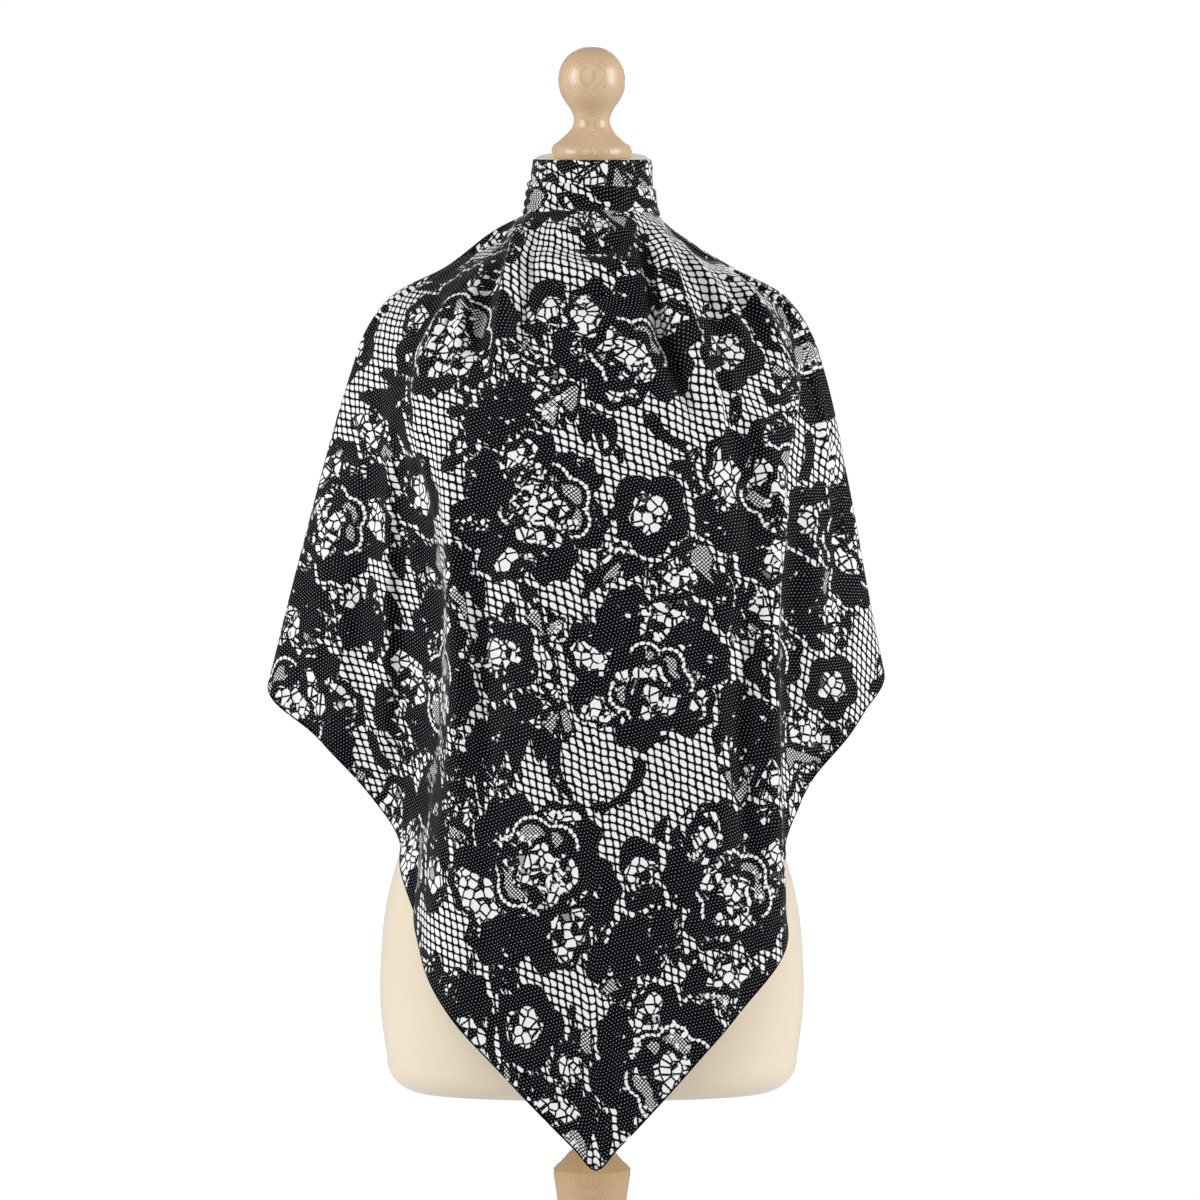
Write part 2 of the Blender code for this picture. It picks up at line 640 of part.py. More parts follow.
def neck_ring(name, heights, inner, pleats, collection):
    """A closed band of cloth round the neck, slanted as the neck is.

    heights are its lower and upper edge, inner its clear half width and depths at both,
    and pleats its thickness, how many slanting pleats go round it, their depth and twist.
    """
    low, high = heights
    thickness, count, depth, twist = pleats
    outer_rows = 7
    rings = []
    for i in range(RING_STEPS):
        turn = 2 * math.pi * i / RING_STEPS
        side = []
        for k in range(outer_rows):
            share = k / (outer_rows - 1)
            swell = math.sin(math.pi * share) ** 0.5
            wave = math.sin(count * turn + twist * share * 2 * math.pi)
            out = thickness * (0.45 + 0.55 * swell) + depth * wave * swell
            side.append(ring_point(turn, share, low, high, inner, out))
        for share in (1.0, 0.5, 0.0):
            side.append(ring_point(turn, share, low, high, inner, 0.0))
        rings.append(side)
    ring = add_object(name, loft_tube(rings), collection, "scarf_silk")
    ring.data.shade_smooth()
    ring.data.set_sharp_from_angle(angle=math.radians(60))
    return ring


def ring_point(turn, share, low, high, inner, out):
    """A point of a neck band, so far out from the clear oval at that height."""
    below, above = inner
    half, front, back = [a + (b - a) * share for a, b in zip(below, above)]
    c, s = math.cos(turn), math.sin(turn)
    depth = back if s > 0 else front
    x, y = (half + out) * c, (depth + out) * s
    z = low + (high - low) * share + y * math.tan(NECK_BAND_SLANT)
    return (x, y, z)


def loft_tube(rings):
    """A mesh swept round through closed sections, from the last back to the first."""
    shape = bmesh.new()
    rows = [[shape.verts.new(p) for p in ring] for ring in rings]
    for index, row in enumerate(rows):
        following = rows[(index + 1) % len(rows)]
        for i in range(len(row)):
            j = (i + 1) % len(row)
            shape.faces.new((row[i], following[i], following[j], row[j]))
    bmesh.ops.recalc_face_normals(shape, faces=shape.faces)
    mesh = bpy.data.meshes.new("tube")
    shape.to_mesh(mesh)
    shape.free()
    return mesh


def make_neck(collection):
    """The two turns of the folded edge round the neck, one above the other."""
    clear_top = [r + CLEAR for r in BODY_NECK_TOP]
    neck_ring("scarf_neck_band", BAND_HEIGHTS, (BAND_LOW_OVAL, clear_top), BAND_PLEATS, collection)
    return neck_ring("scarf_neck_roll", ROLL_HEIGHTS, (ROLL_LOW_OVAL, ROLL_TOP_OVAL), ROLL_PLEATS,
                     collection)


def make_knot(collection, roll):
    """The knot at the nape: a rounded lump with two grooves where the ends cross."""
    shape = bmesh.new()
    bmesh.ops.create_uvsphere(shape, u_segments=24, v_segments=14, radius=1.0)
    for vert in shape.verts:
        x, y, z = vert.co
        groove = 0.10 * math.cos(3.0 * (x + z) + 0.6) + 0.06 * math.cos(5.0 * (x - z))
        swell = 0.92 + groove * (1.0 - 0.3 * abs(z))
        vert.co = Vector((x * KNOT_SIZE[0], y * KNOT_SIZE[1], z * KNOT_SIZE[2])) * swell
    mesh = bpy.data.meshes.new("scarf_knot")
    shape.to_mesh(mesh)
    shape.free()
    mesh.shade_smooth()
    knot = add_object("scarf_knot", mesh, collection, "scarf_silk")
    knot.location = KNOT_CENTRE
    bpy.context.view_layer.update()
    seat(knot, (0.0, -1.0, 0.0), roll)
    return knot


def tail_grid(table, phase):
    """Rows of points of one tied end, with soft folds down it."""
    path = [(row.x, row.y, TAIL_TOP - row.drop) for row in table]
    grid = []
    for row in range(TAIL_ROWS + 1):
        t = row / TAIL_ROWS
        middle = spline(path, t)
        width = tail_width(table, TAIL_TOP - middle.z)
        fold = TAIL_FOLD_DEPTH * math.sin(math.pi * min(1.0, t * 1.2 + 0.15))
        line = []
        for step in range(TAIL_STEPS + 1):
            side = step / TAIL_STEPS - 0.5
            wave = math.sin(2.6 * math.pi * side + phase) * fold
            line.append(middle + Vector((side * width, wave, 0.35 * abs(side) * width)))
        grid.append(line)
    return grid


def tail_width(table, drop):
    """The width of a tail at a distance below the knot."""
    for upper, lower in zip(table, table[1:]):
        if drop <= lower.drop:
            share = (drop - upper.drop) / (lower.drop - upper.drop)
            return upper.width + (lower.width - upper.width) * share
    return table[-1].width


def seat(item, direction, carrier):
    """Moves a piece along a direction until it lies one gap from what carries it."""
    tree = solid_tree(carrier)
    direction = Vector(direction)
    spots = [item.matrix_world @ v.co for v in item.data.vertices]
    spots += [item.matrix_world @ face.center for face in item.data.polygons]
    reaches = [tree.ray_cast(spot, direction)[3] for spot in spots]
    nearest = min(reach for reach in reaches if reach is not None)
    item.location = item.location + direction * (nearest - GAP)
    bpy.context.view_layer.update()


def make_tails(collection, body, knot):
    tree = solid_tree(body)
    for name, table, phase in (("scarf_tail_left", TAIL_LEFT, 0.4), ("scarf_tail_right", TAIL_RIGHT, 2.1)):
        grid = tail_grid(table, phase)
        push_clear(grid, tree, WALL + CLEAR)
        grid = [list(reversed(line)) for line in grid]
        tail = grid_surface(name, grid, collection)
        seat(tail, (0.0, 0.0, 1.0), knot)


def build():
    clear_scene()
    collection = make_collection("silk_scarf_on_dress_form")
    body = make_body(collection)
    make_knob(collection)
    make_stand(collection)
    make_cape(collection, body)
    roll = make_neck(collection)
    knot = make_knot(collection, roll)
    make_tails(collection, body, knot)


build()
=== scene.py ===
# %% [markdown]
# # A silk scarf worn as a cape
# A large square of printed silk is folded corner to corner. The fold is wound round the
# neck of a dress form, one corner hangs in front, and the two ends are tied at the nape.
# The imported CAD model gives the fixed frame: every piece below is made in its metres.

# %% Load the fixed frame
import math
import bmesh
import bpy
import numpy as np
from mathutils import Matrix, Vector
from mathutils.bvhtree import BVHTree


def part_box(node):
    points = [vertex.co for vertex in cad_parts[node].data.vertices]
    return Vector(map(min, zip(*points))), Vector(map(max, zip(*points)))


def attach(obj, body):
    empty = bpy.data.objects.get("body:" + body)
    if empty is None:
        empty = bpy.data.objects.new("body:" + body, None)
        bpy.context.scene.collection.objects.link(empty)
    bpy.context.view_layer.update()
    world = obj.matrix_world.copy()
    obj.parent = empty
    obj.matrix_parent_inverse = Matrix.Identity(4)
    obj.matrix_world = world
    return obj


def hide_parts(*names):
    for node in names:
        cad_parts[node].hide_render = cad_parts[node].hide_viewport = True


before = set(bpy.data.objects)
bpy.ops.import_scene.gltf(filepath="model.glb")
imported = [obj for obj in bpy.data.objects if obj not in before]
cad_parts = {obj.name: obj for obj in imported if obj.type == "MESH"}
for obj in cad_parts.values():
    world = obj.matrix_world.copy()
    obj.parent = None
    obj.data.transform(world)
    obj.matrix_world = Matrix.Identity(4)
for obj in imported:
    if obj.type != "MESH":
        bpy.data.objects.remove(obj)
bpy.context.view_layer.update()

# %% [markdown]
# The camera stands level, far off and straight in front, as a product photographer's
# does. A long lens keeps the shoulders from looking wide. Its height and its small shift
# to the right come from where the form's axis lies in the picture.

# %% Camera
CAMERA_DISTANCE = 3.4
CAMERA_ASIDE = 0.00664
CAMERA_HEIGHT = 1.049
SENSOR_WIDTH = 36.0
VIEW_WIDTH = 0.996
lens = bpy.data.cameras.new("long_lens")
lens.sensor_width = SENSOR_WIDTH
lens.lens = SENSOR_WIDTH * CAMERA_DISTANCE / VIEW_WIDTH
camera = bpy.data.objects.new("camera", lens)
camera.location = (CAMERA_ASIDE, -CAMERA_DISTANCE, CAMERA_HEIGHT)
camera.rotation_euler = (math.radians(90.0), 0.0, 0.0)
bpy.context.scene.collection.objects.link(camera)
bpy.context.scene.camera = camera
bpy.context.scene.view_settings.view_transform = "Standard"
print("lens", round(lens.lens, 1), "mm")

# %% [markdown]
# The studio is plain: a pale floor, a bright even surround, and four large soft lights.
# The two at the sides make the form's edges glow, the one in front shows the folds, and
# the one behind lights the back. The surround is brighter to look at than in the light it
# gives, as a lit paper roll is, and the camera doesn't see the lights themselves.

# %% Studio
SURROUND = (0.93, 0.955, 1.0)
SURROUND_SEEN = 1.08
SURROUND_GIVEN = 0.30
FLOOR_RADIUS = 3.2
FLOOR_SIDES = 96
# name, place, height aimed at, size, power
LIGHTS = (
    ("left_softbox", (-2.3, -1.1, 1.7), 1.1, (1.2, 2.0), 58.0),
    ("right_softbox", (2.3, -0.9, 1.7), 1.1, (1.2, 2.0), 58.0),
    ("front_softbox", (-0.7, -3.6, 2.9), 1.0, (1.6, 1.2), 18.0),
    ("back_softbox", (0.3, 2.8, 2.4), 1.1, (1.8, 1.4), 30.0),
)


def make_floor():
    mesh = bpy.data.meshes.new("studio_floor")
    turns = [2 * math.pi * i / FLOOR_SIDES for i in range(FLOOR_SIDES)]
    rim = [(FLOOR_RADIUS * math.cos(t), FLOOR_RADIUS * math.sin(t), 0.0) for t in turns]
    mesh.from_pydata(rim, [], [range(FLOOR_SIDES)])
    floor = bpy.data.objects.new("studio_floor", mesh)
    bpy.context.scene.collection.objects.link(floor)
    paint = bpy.data.materials.new("pale_floor")
    paint.use_nodes = True
    shader = paint.node_tree.nodes["Principled BSDF"]
    shader.inputs["Base Color"].default_value = (0.86, 0.87, 0.88, 1.0)
    shader.inputs["Roughness"].default_value = 0.6
    mesh.materials.append(paint)


def make_surround():
    """A world that the camera sees brighter than it shines."""
    world = bpy.data.worlds.new("studio")
    bpy.context.scene.world = world
    world.use_nodes = True
    tree = world.node_tree
    light = tree.nodes["Background"]
    light.inputs["Color"].default_value = (*SURROUND, 1.0)
    path = tree.nodes.new("ShaderNodeLightPath")
    choose = tree.nodes.new("ShaderNodeMix")
    choose.inputs[2].default_value = SURROUND_GIVEN
    choose.inputs[3].default_value = SURROUND_SEEN
    tree.links.new(path.outputs["Is Camera Ray"], choose.inputs[0])
    tree.links.new(choose.outputs[0], light.inputs["Strength"])


def soft_light(name, place, aim, size, power):
    data = bpy.data.lights.new(name, "AREA")
    data.shape = "RECTANGLE"
    data.size, data.size_y = size
    data.energy = power
    lamp = bpy.data.objects.new(name, data)
    lamp.visible_camera = False
    lamp.location = place
    towards = Vector((0.0, 0.0, aim)) - Vector(place)
    lamp.rotation_euler = towards.to_track_quat("-Z", "Y").to_euler()
    bpy.context.scene.collection.objects.link(lamp)


make_floor()
make_surround()
for row in LIGHTS:
    soft_light(*row)
print("studio ready")

# %% [markdown]
# Small helpers come first: some make a mesh or an object from points and faces, and some
# draw a smooth curve through given points. The curve weights its slopes towards the nearer
# neighbour, so that it hardly overshoots where points lie unevenly.

# %% Helpers for meshes and curves


def link(name, mesh, material):
    piece = bpy.data.objects.new(name, mesh)
    bpy.context.scene.collection.objects.link(piece)
    mesh.materials.append(material)
    return piece


def mesh_of(name, points, faces):
    mesh = bpy.data.meshes.new(name)
    mesh.from_pydata([tuple(p) for p in points], [], faces)
    mesh.shade_smooth()
    return mesh


def slopes(points, chords):
    """The curve's direction at each of its points."""
    runs = np.diff(points, axis=-2) / chords[..., None]
    out = np.empty_like(points)
    out[..., 0, :] = runs[..., 0, :]
    out[..., -1, :] = runs[..., -1, :]
    before, after = chords[..., :-1, None], chords[..., 1:, None]
    out[..., 1:-1, :] = (runs[..., :-1, :] * after + runs[..., 1:, :] * before) / (before + after)
    return out


def hermite(points, chords, index, share):
    """Places on a smooth curve, a share of the way along the stretches with these numbers."""
    slope = slopes(points, chords)
    start, end = points[..., index, :], points[..., index + 1, :]
    step = chords[..., index][..., None]
    s = share[:, None]
    s2, s3 = s * s, s ** 3
    blend_start = (2 * s3 - 3 * s2 + 1) * start + (s3 - 2 * s2 + s) * step * slope[..., index, :]
    return blend_start + (3 * s2 - 2 * s3) * end + (s3 - s2) * step * slope[..., index + 1, :]


def curve_through(points, shares):
    """Places on the curve at shares of its length."""
    points = np.array(points, float)
    chords = np.linalg.norm(np.diff(points, axis=0), axis=1)
    walked = np.concatenate(([0.0], np.cumsum(chords)))
    target = np.asarray(shares) * walked[-1]
    index = np.clip(np.searchsorted(walked, target, side="right") - 1, 0, len(chords) - 1)
    return hermite(points, chords, index, (target - walked[index]) / chords[index])


def tree_of(mesh):
    """A search tree that finds the nearest place on a mesh."""
    faces = [tuple(face.vertices) for face in mesh.polygons]
    return BVHTree.FromPolygons([vert.co for vert in mesh.vertices], faces)


print("helpers ready")

# %% [markdown]
# A node tree is easier to read as a formula. This small class wraps a socket, so that sums
# and comparisons of sockets make the Math nodes by themselves.

# %% Formulas made of nodes


class Formula:
    """A socket that can be added, multiplied and compared."""

    def __init__(self, tree, socket):
        self.tree = tree
        self.socket = socket

    def math(self, operation, *others):
        node = self.tree.nodes.new("ShaderNodeMath")
        node.operation = operation
        for slot, value in enumerate((self, *others)):
            if isinstance(value, Formula):
                self.tree.links.new(value.socket, node.inputs[slot])
            else:
                node.inputs[slot].default_value = value
        return Formula(self.tree, node.outputs[0])

    def __add__(self, other):
        return self.math("ADD", other)

    def __sub__(self, other):
        return self.math("SUBTRACT", other)

    def __mul__(self, other):
        return self.math("MULTIPLY", other)

    def __abs__(self):
        return self.math("ABSOLUTE")

    def least(self, other):
        return self.math("MINIMUM", other)

    def most(self, other):
        return self.math("MAXIMUM", other)

    def sine(self):
        return self.math("SINE")

    def over(self, level, softness):
        """0 well below the level and 1 well above it."""
        node = self.tree.nodes.new("ShaderNodeMapRange")
        node.interpolation_type = "SMOOTHSTEP"
        node.inputs["From Min"].default_value = level - softness
        node.inputs["From Max"].default_value = level + softness
        self.tree.links.new(self.socket, node.inputs["Value"])
        return Formula(self.tree, node.outputs["Result"])

    def flip(self):
        """1 minus the value."""
        return self.math("MULTIPLY_ADD", -1.0, 1.0)


def new_group(name, takes, gives):
    """An empty shader node group with named inputs and outputs."""
    group = bpy.data.node_groups.new(name, "ShaderNodeTree")
    for label, kind, value in takes:
        made = group.interface.new_socket(label, in_out="INPUT", socket_type=kind)
        if value is not None:
            made.default_value = value
    for label, kind in gives:
        group.interface.new_socket(label, in_out="OUTPUT", socket_type=kind)
    inlet = group.nodes.new("NodeGroupInput")
    outlet = group.nodes.new("NodeGroupOutput")
    return group, inlet, outlet


def blank_material(name):
    made = bpy.data.materials.new(name)
    made.use_nodes = True
    return made, made.node_tree, made.node_tree.nodes["Principled BSDF"]


def noise(tree, place, scale, detail=2.0, rough=0.5):
    node = tree.nodes.new("ShaderNodeTexNoise")
    node.inputs["Scale"].default_value = scale
    node.inputs["Detail"].default_value = detail
    node.inputs["Roughness"].default_value = rough
    tree.links.new(place, node.inputs["Vector"])
    return node


def mix_colour(tree, share, first, second):
    node = tree.nodes.new("ShaderNodeMix")
    node.data_type = "RGBA"
    tree.links.new(share, node.inputs[0])
    for slot, value in ((6, first), (7, second)):
        if isinstance(value, tuple):
            node.inputs[slot].default_value = (*value, 1.0)
        else:
            tree.links.new(value, node.inputs[slot])
    return node.outputs[2]


def bump(tree, height, strength, distance):
    node = tree.nodes.new("ShaderNodeBump")
    node.inputs["Strength"].default_value = strength
    node.inputs["Distance"].default_value = distance
    tree.links.new(height, node.inputs["Height"])
    return node.outputs["Normal"]


print("node helpers ready")

# %% [markdown]
# The cloth is silk twill, printed navy black on cream to look like lace. Where nothing
# else lies there is a slanting net of small cells. Flowers and leaves are dark masses full
# of pin dots, with chains of beads along the petals, pebble cells in the hearts, patches
# of fine mesh and a few open slots. Each of these is a small formula of the cloth's own
# flat coordinates, in millimetres.

# %% The lace print's elements
NET_PITCH = 6.0
NET_LINE = 0.74
DOT_PITCH = 2.9
DOT_RADIUS = 0.23
BEAD_STEP = 4.4
PEBBLE_SIZE = 7.4
SLOT_SIZE = 5.0
MESH_PITCH = 3.2
MESH_LINE = 0.66


def lattice(axis, pitch, shift=0.0):
    """The distance in millimetres to the nearest of evenly spaced lines."""
    part = (axis * (1.0 / pitch) + (shift + 0.5)).math("FRACT")
    return abs(part - 0.5) * pitch


def length_of(first, second):
    return (first * first + second * second).math("SQRT")


def net_threads(x, y, jitter):
    """1 on the threads of the net, whose rows fall to the right."""
    across = lattice(x * 0.98 + y * 0.13 + jitter * 1.9, NET_PITCH)
    up = lattice(y * 0.94 + x * 0.32 - jitter * 1.9, NET_PITCH)
    near = (across * up).math("DIVIDE", across + up + 0.05) * 1.3
    return near.over(NET_LINE, 0.20).flip()


def pin_dots(x, y):
    """1 on small dots in slanting rows, every other row set off by half a step."""
    rows = 2 * DOT_PITCH * 0.88
    slid = x * 0.96 + y * 0.27
    risen = y * 0.96 - x * 0.27
    odd = length_of(lattice(slid, DOT_PITCH), lattice(risen, rows))
    even = length_of(lattice(slid, DOT_PITCH, 0.5), lattice(risen, rows, 0.5))
    return odd.least(even).over(DOT_RADIUS, 0.17).flip()


def fine_mesh(x, y):
    """1 in the holes of a close diagonal mesh."""
    return lattice(x + y, MESH_PITCH).least(lattice(x - y, MESH_PITCH)).over(MESH_LINE, 0.2)


def pebble_cells(tree, place, size, line, dark_share):
    """1 inside rounded cells with dark lines between them, and a share of them all dark."""
    cells = {}
    for feature in ("DISTANCE_TO_EDGE", "F1"):
        node = tree.nodes.new("ShaderNodeTexVoronoi")
        node.feature = feature
        node.inputs["Scale"].default_value = 1.0 / size
        node.inputs["Randomness"].default_value = 0.85
        tree.links.new(place, node.inputs["Vector"])
        cells[feature] = node
    tone = tree.nodes.new("ShaderNodeSeparateColor")
    tree.links.new(cells["F1"].outputs["Color"], tone.inputs[0])
    shown = Formula(tree, tone.outputs[0]).over(dark_share, 0.02)
    edge = Formula(tree, cells["DISTANCE_TO_EDGE"].outputs["Distance"]) * size
    return edge.over(line, 0.18) * shown


print("lace elements ready")

# %% [markdown]
# What needs a drawn shape comes from six attributes on the mesh. Most of them are
# distances in millimetres: mass is how far a point lies inside a motif, petal how far off
# the line of a bead chain, heart how far inside pebble cells and mesh how far inside the
# fine mesh. Arc says where the chain shows, and flow is the way along it. The shader group
# turns them into one mask, the ink. A little noise roughens every edge, as on a print.

# %% The lace print as a shader group
FIELDS = ("mass", "petal", "arc", "heart", "mesh", "flow")


def make_print_group():
    takes = [("Place", "NodeSocketVector", None)]
    takes += [(name.capitalize(), "NodeSocketFloat", 0.0) for name in FIELDS]
    group, inlet, outlet = new_group("lace_print", takes, [("Ink", "NodeSocketFloat")])
    place = inlet.outputs["Place"]
    part = group.nodes.new("ShaderNodeSeparateXYZ")
    group.links.new(place, part.inputs[0])
    sway = Formula(group, noise(group, place, 0.045).outputs["Fac"]) - 0.5
    jitter = Formula(group, noise(group, place, 0.16, 1.0).outputs["Fac"]) - 0.5
    x = Formula(group, part.outputs[0]) + sway * 5.0
    y = Formula(group, part.outputs[1]) - sway * 4.0
    field = {name: Formula(group, inlet.outputs[name.capitalize()]) for name in FIELDS}
    wobble = jitter * 2.4
    inside = (field["mass"] + wobble).over(0.0, 0.3)

    along = lattice(field["flow"] + jitter * 3.0, BEAD_STEP) * 0.52
    aside = abs(field["petal"] + wobble * 0.7) * 0.66
    beads = length_of(aside, along).over(1.0, 0.16).flip() * field["arc"].over(0.0, 0.5)

    hearts = (field["heart"] + wobble).over(0.0, 0.3)
    hearts = hearts * pebble_cells(group, place, PEBBLE_SIZE, 0.72, 0.10)
    meshed = (field["mesh"] + wobble).over(0.0, 0.3) * fine_mesh(x, y)
    deep = (field["mass"] - 4.0).over(0.0, 0.5)
    slots = (sway + field["mass"] * 0.002).over(0.125, 0.01) * deep
    slots = slots * pebble_cells(group, place, SLOT_SIZE, 0.85, 0.35)
    cream = pin_dots(x, y).most(beads).most(hearts).most(meshed).most(slots)

    net = net_threads(x, y, jitter)
    ink = net.math("MULTIPLY_ADD", inside.flip(), inside * cream.flip())
    group.links.new(ink.socket, outlet.inputs["Ink"])
    return group


LACE_PRINT = make_print_group()
print("print group has", len(LACE_PRINT.nodes), "nodes")

# %% [markdown]
# Twill shows as fine slanting lines, strongest where the ground is dark. Its ridges get a
# painted highlight, a lighter navy, and its furrows a painted shade, a darker cream. The twill
# is a second group, because the hem uses it too. Dyed silk this dark gives back very little
# light, so the shader's gloss and sheen are low, and the walls of the folds go only slightly grey.

# %% Silk
CREAM = (0.800, 0.789, 0.762)
# painted shade in the twill's furrows on the cream
CREAM_FURROW_SHADE = (0.760, 0.746, 0.715)
NAVY = (0.0008, 0.0010, 0.0020)
# painted highlights on the twill's ridges on the navy, for the cape and for the hem
NAVY_RIDGE_HIGHLIGHT = (0.0038, 0.0048, 0.0080)
HEM_RIDGE_HIGHLIGHT = (0.0042, 0.0052, 0.0084)


def make_twill_group():
    takes = [("Place", "NodeSocketVector", None), ("Pitch", "NodeSocketFloat", 1.15)]
    group, inlet, outlet = new_group("silk_twill", takes, [("Height", "NodeSocketFloat")])
    part = group.nodes.new("ShaderNodeSeparateXYZ")
    group.links.new(inlet.outputs["Place"], part.inputs[0])
    x = Formula(group, part.outputs[0])
    y = Formula(group, part.outputs[1])
    fuzz = Formula(group, noise(group, inlet.outputs["Place"], 0.9, 1.0).outputs["Fac"])
    slant = (x * 0.86 - y * 0.5 + fuzz * 0.5).math("DIVIDE", Formula(group, inlet.outputs["Pitch"]))
    ridge = (slant * (2 * math.pi)).sine() * 0.5 + 0.5
    group.links.new((ridge * 0.8 + fuzz * 0.4).socket, outlet.inputs["Height"])
    return group


SILK_TWILL = make_twill_group()


def place_group(tree, group, **links):
    node = tree.nodes.new("ShaderNodeGroup")
    node.node_tree = group
    for name, socket in links.items():
        tree.links.new(socket, node.inputs[name])
    return node


def in_millimetres(tree, place):
    scale = tree.nodes.new("ShaderNodeVectorMath")
    scale.operation = "SCALE"
    scale.inputs["Scale"].default_value = 1000.0
    tree.links.new(place, scale.inputs[0])
    return scale.outputs[0]


def cloth_place(tree):
    """The cloth's flat coordinates, in millimetres."""
    uv = tree.nodes.new("ShaderNodeUVMap")
    uv.uv_map = "cloth"
    return in_millimetres(tree, uv.outputs[0])


def silk_shader(shader):
    shader.inputs["Roughness"].default_value = 0.46
    shader.inputs["Specular IOR Level"].default_value = 0.022
    shader.inputs["Sheen Weight"].default_value = 0.008
    shader.inputs["Sheen Roughness"].default_value = 0.35
    shader.inputs["Sheen Tint"].default_value = (0.86, 0.90, 1.0, 1.0)


def make_silk():
    silk, tree, shader = blank_material("printed_silk")
    place = cloth_place(tree)
    drawn = place_group(tree, LACE_PRINT, Place=place)
    for name in FIELDS:
        reader = tree.nodes.new("ShaderNodeAttribute")
        reader.attribute_name = "lace_" + name
        tree.links.new(reader.outputs["Fac"], drawn.inputs[name.capitalize()])
    twill = place_group(tree, SILK_TWILL, Place=place)
    height = Formula(tree, twill.outputs["Height"])
    # painted highlight: the twill's ridges turn a lighter navy
    dark = mix_colour(tree, (height * 0.9).socket, NAVY, NAVY_RIDGE_HIGHLIGHT)
    # painted shade: the twill's furrows turn a darker cream
    light = mix_colour(tree, (height * 0.5).socket, CREAM_FURROW_SHADE, CREAM)
    tree.links.new(mix_colour(tree, drawn.outputs["Ink"], light, dark), shader.inputs["Base Color"])
    silk_shader(shader)
    tree.links.new(bump(tree, height.socket, 0.25, 0.0003), shader.inputs["Normal"])
    return silk


def make_hem_silk():
    silk, tree, shader = blank_material("hem_silk")
    place = in_millimetres(tree, tree.nodes.new("ShaderNodeTexCoord").outputs["Object"])
    twill = place_group(tree, SILK_TWILL, Place=place)
    patchy = Formula(tree, noise(tree, place, 0.12, 2.0).outputs["Fac"]).over(0.66, 0.02)
    # painted highlight: the hem's twill ridges turn a lighter navy
    dark = mix_colour(tree, twill.outputs["Height"], NAVY, HEM_RIDGE_HIGHLIGHT)
    tree.links.new(mix_colour(tree, patchy.socket, dark, CREAM), shader.inputs["Base Color"])
    silk_shader(shader)
    tree.links.new(bump(tree, twill.outputs["Height"], 0.3, 0.0003), shader.inputs["Normal"])
    return silk


PRINTED_SILK = make_silk()
HEM_SILK = make_hem_silk()
print("silk ready")

# %% [markdown]
# The form wears a cover of fine cream jersey, so its finish is matt, with faint rows of
# stitches and a little unevenness. The knob, the column and the base are turned from pale
# beech under satin varnish: long fine grain, short dark flecks and slow changes of tone.
# Lower down, below about a metre, the wood has a painted shade, darker and more orange,
# where the body above shades the column and the base.

# %% Jersey, beech and steel
JERSEY_SHADE = (0.650, 0.545, 0.405)
JERSEY_LIGHT = (0.730, 0.638, 0.505)
BEECH_DARK = (0.555, 0.385, 0.232)
BEECH_PALE = (0.670, 0.505, 0.335)
# painted shade for the wood low down, under the body
BEECH_SHADED_LOW = (0.480, 0.295, 0.135)
BEECH_RING = (0.460, 0.280, 0.145)
BEECH_FLECK = (0.380, 0.230, 0.120)
STEEL_DARK = (0.42, 0.42, 0.43)
STEEL_PALE = (0.68, 0.68, 0.69)


def object_place(tree, scale):
    spot = tree.nodes.new("ShaderNodeTexCoord").outputs["Object"]
    mapping = tree.nodes.new("ShaderNodeMapping")
    mapping.inputs["Scale"].default_value = scale
    tree.links.new(spot, mapping.inputs["Vector"])
    return mapping.outputs["Vector"]


def make_jersey():
    jersey, tree, shader = blank_material("cream_jersey")
    fine = object_place(tree, (1.0, 1.0, 1.0))
    part = tree.nodes.new("ShaderNodeSeparateXYZ")
    tree.links.new(fine, part.inputs[0])
    turn = Formula(tree, part.outputs[0]).math("ARCTAN2", Formula(tree, part.outputs[1]))
    wales = (turn * 520.0).sine() * 0.5 + 0.5
    courses = (Formula(tree, part.outputs[2]) * 5200.0).sine() * 0.5 + 0.5
    knit = wales * 0.6 + courses * 0.4
    cloud = Formula(tree, noise(tree, fine, 9.0, 3.0).outputs["Fac"])
    pill = Formula(tree, noise(tree, fine, 420.0, 2.0).outputs["Fac"])
    tone = (cloud * 0.6 + pill * 0.25 + knit * 0.15).over(0.5, 0.45)
    colour = mix_colour(tree, tone.socket, JERSEY_SHADE, JERSEY_LIGHT)
    tree.links.new(colour, shader.inputs["Base Color"])
    rough = tone * 0.08 + 0.80
    tree.links.new(rough.socket, shader.inputs["Roughness"])
    shader.inputs["Sheen Weight"].default_value = 0.45
    shader.inputs["Sheen Tint"].default_value = (0.90, 0.95, 1.0, 1.0)
    shader.inputs["Sheen Roughness"].default_value = 0.4
    shader.inputs["Specular IOR Level"].default_value = 0.2
    relief = knit * 0.5 + pill * 0.5
    tree.links.new(bump(tree, relief.socket, 0.25, 0.0004), shader.inputs["Normal"])
    return jersey


def cloudiness(tree, scale, *detail):
    """A noise stretched by three scales, as a value."""
    return Formula(tree, noise(tree, object_place(tree, scale), 1.0, *detail).outputs["Fac"])


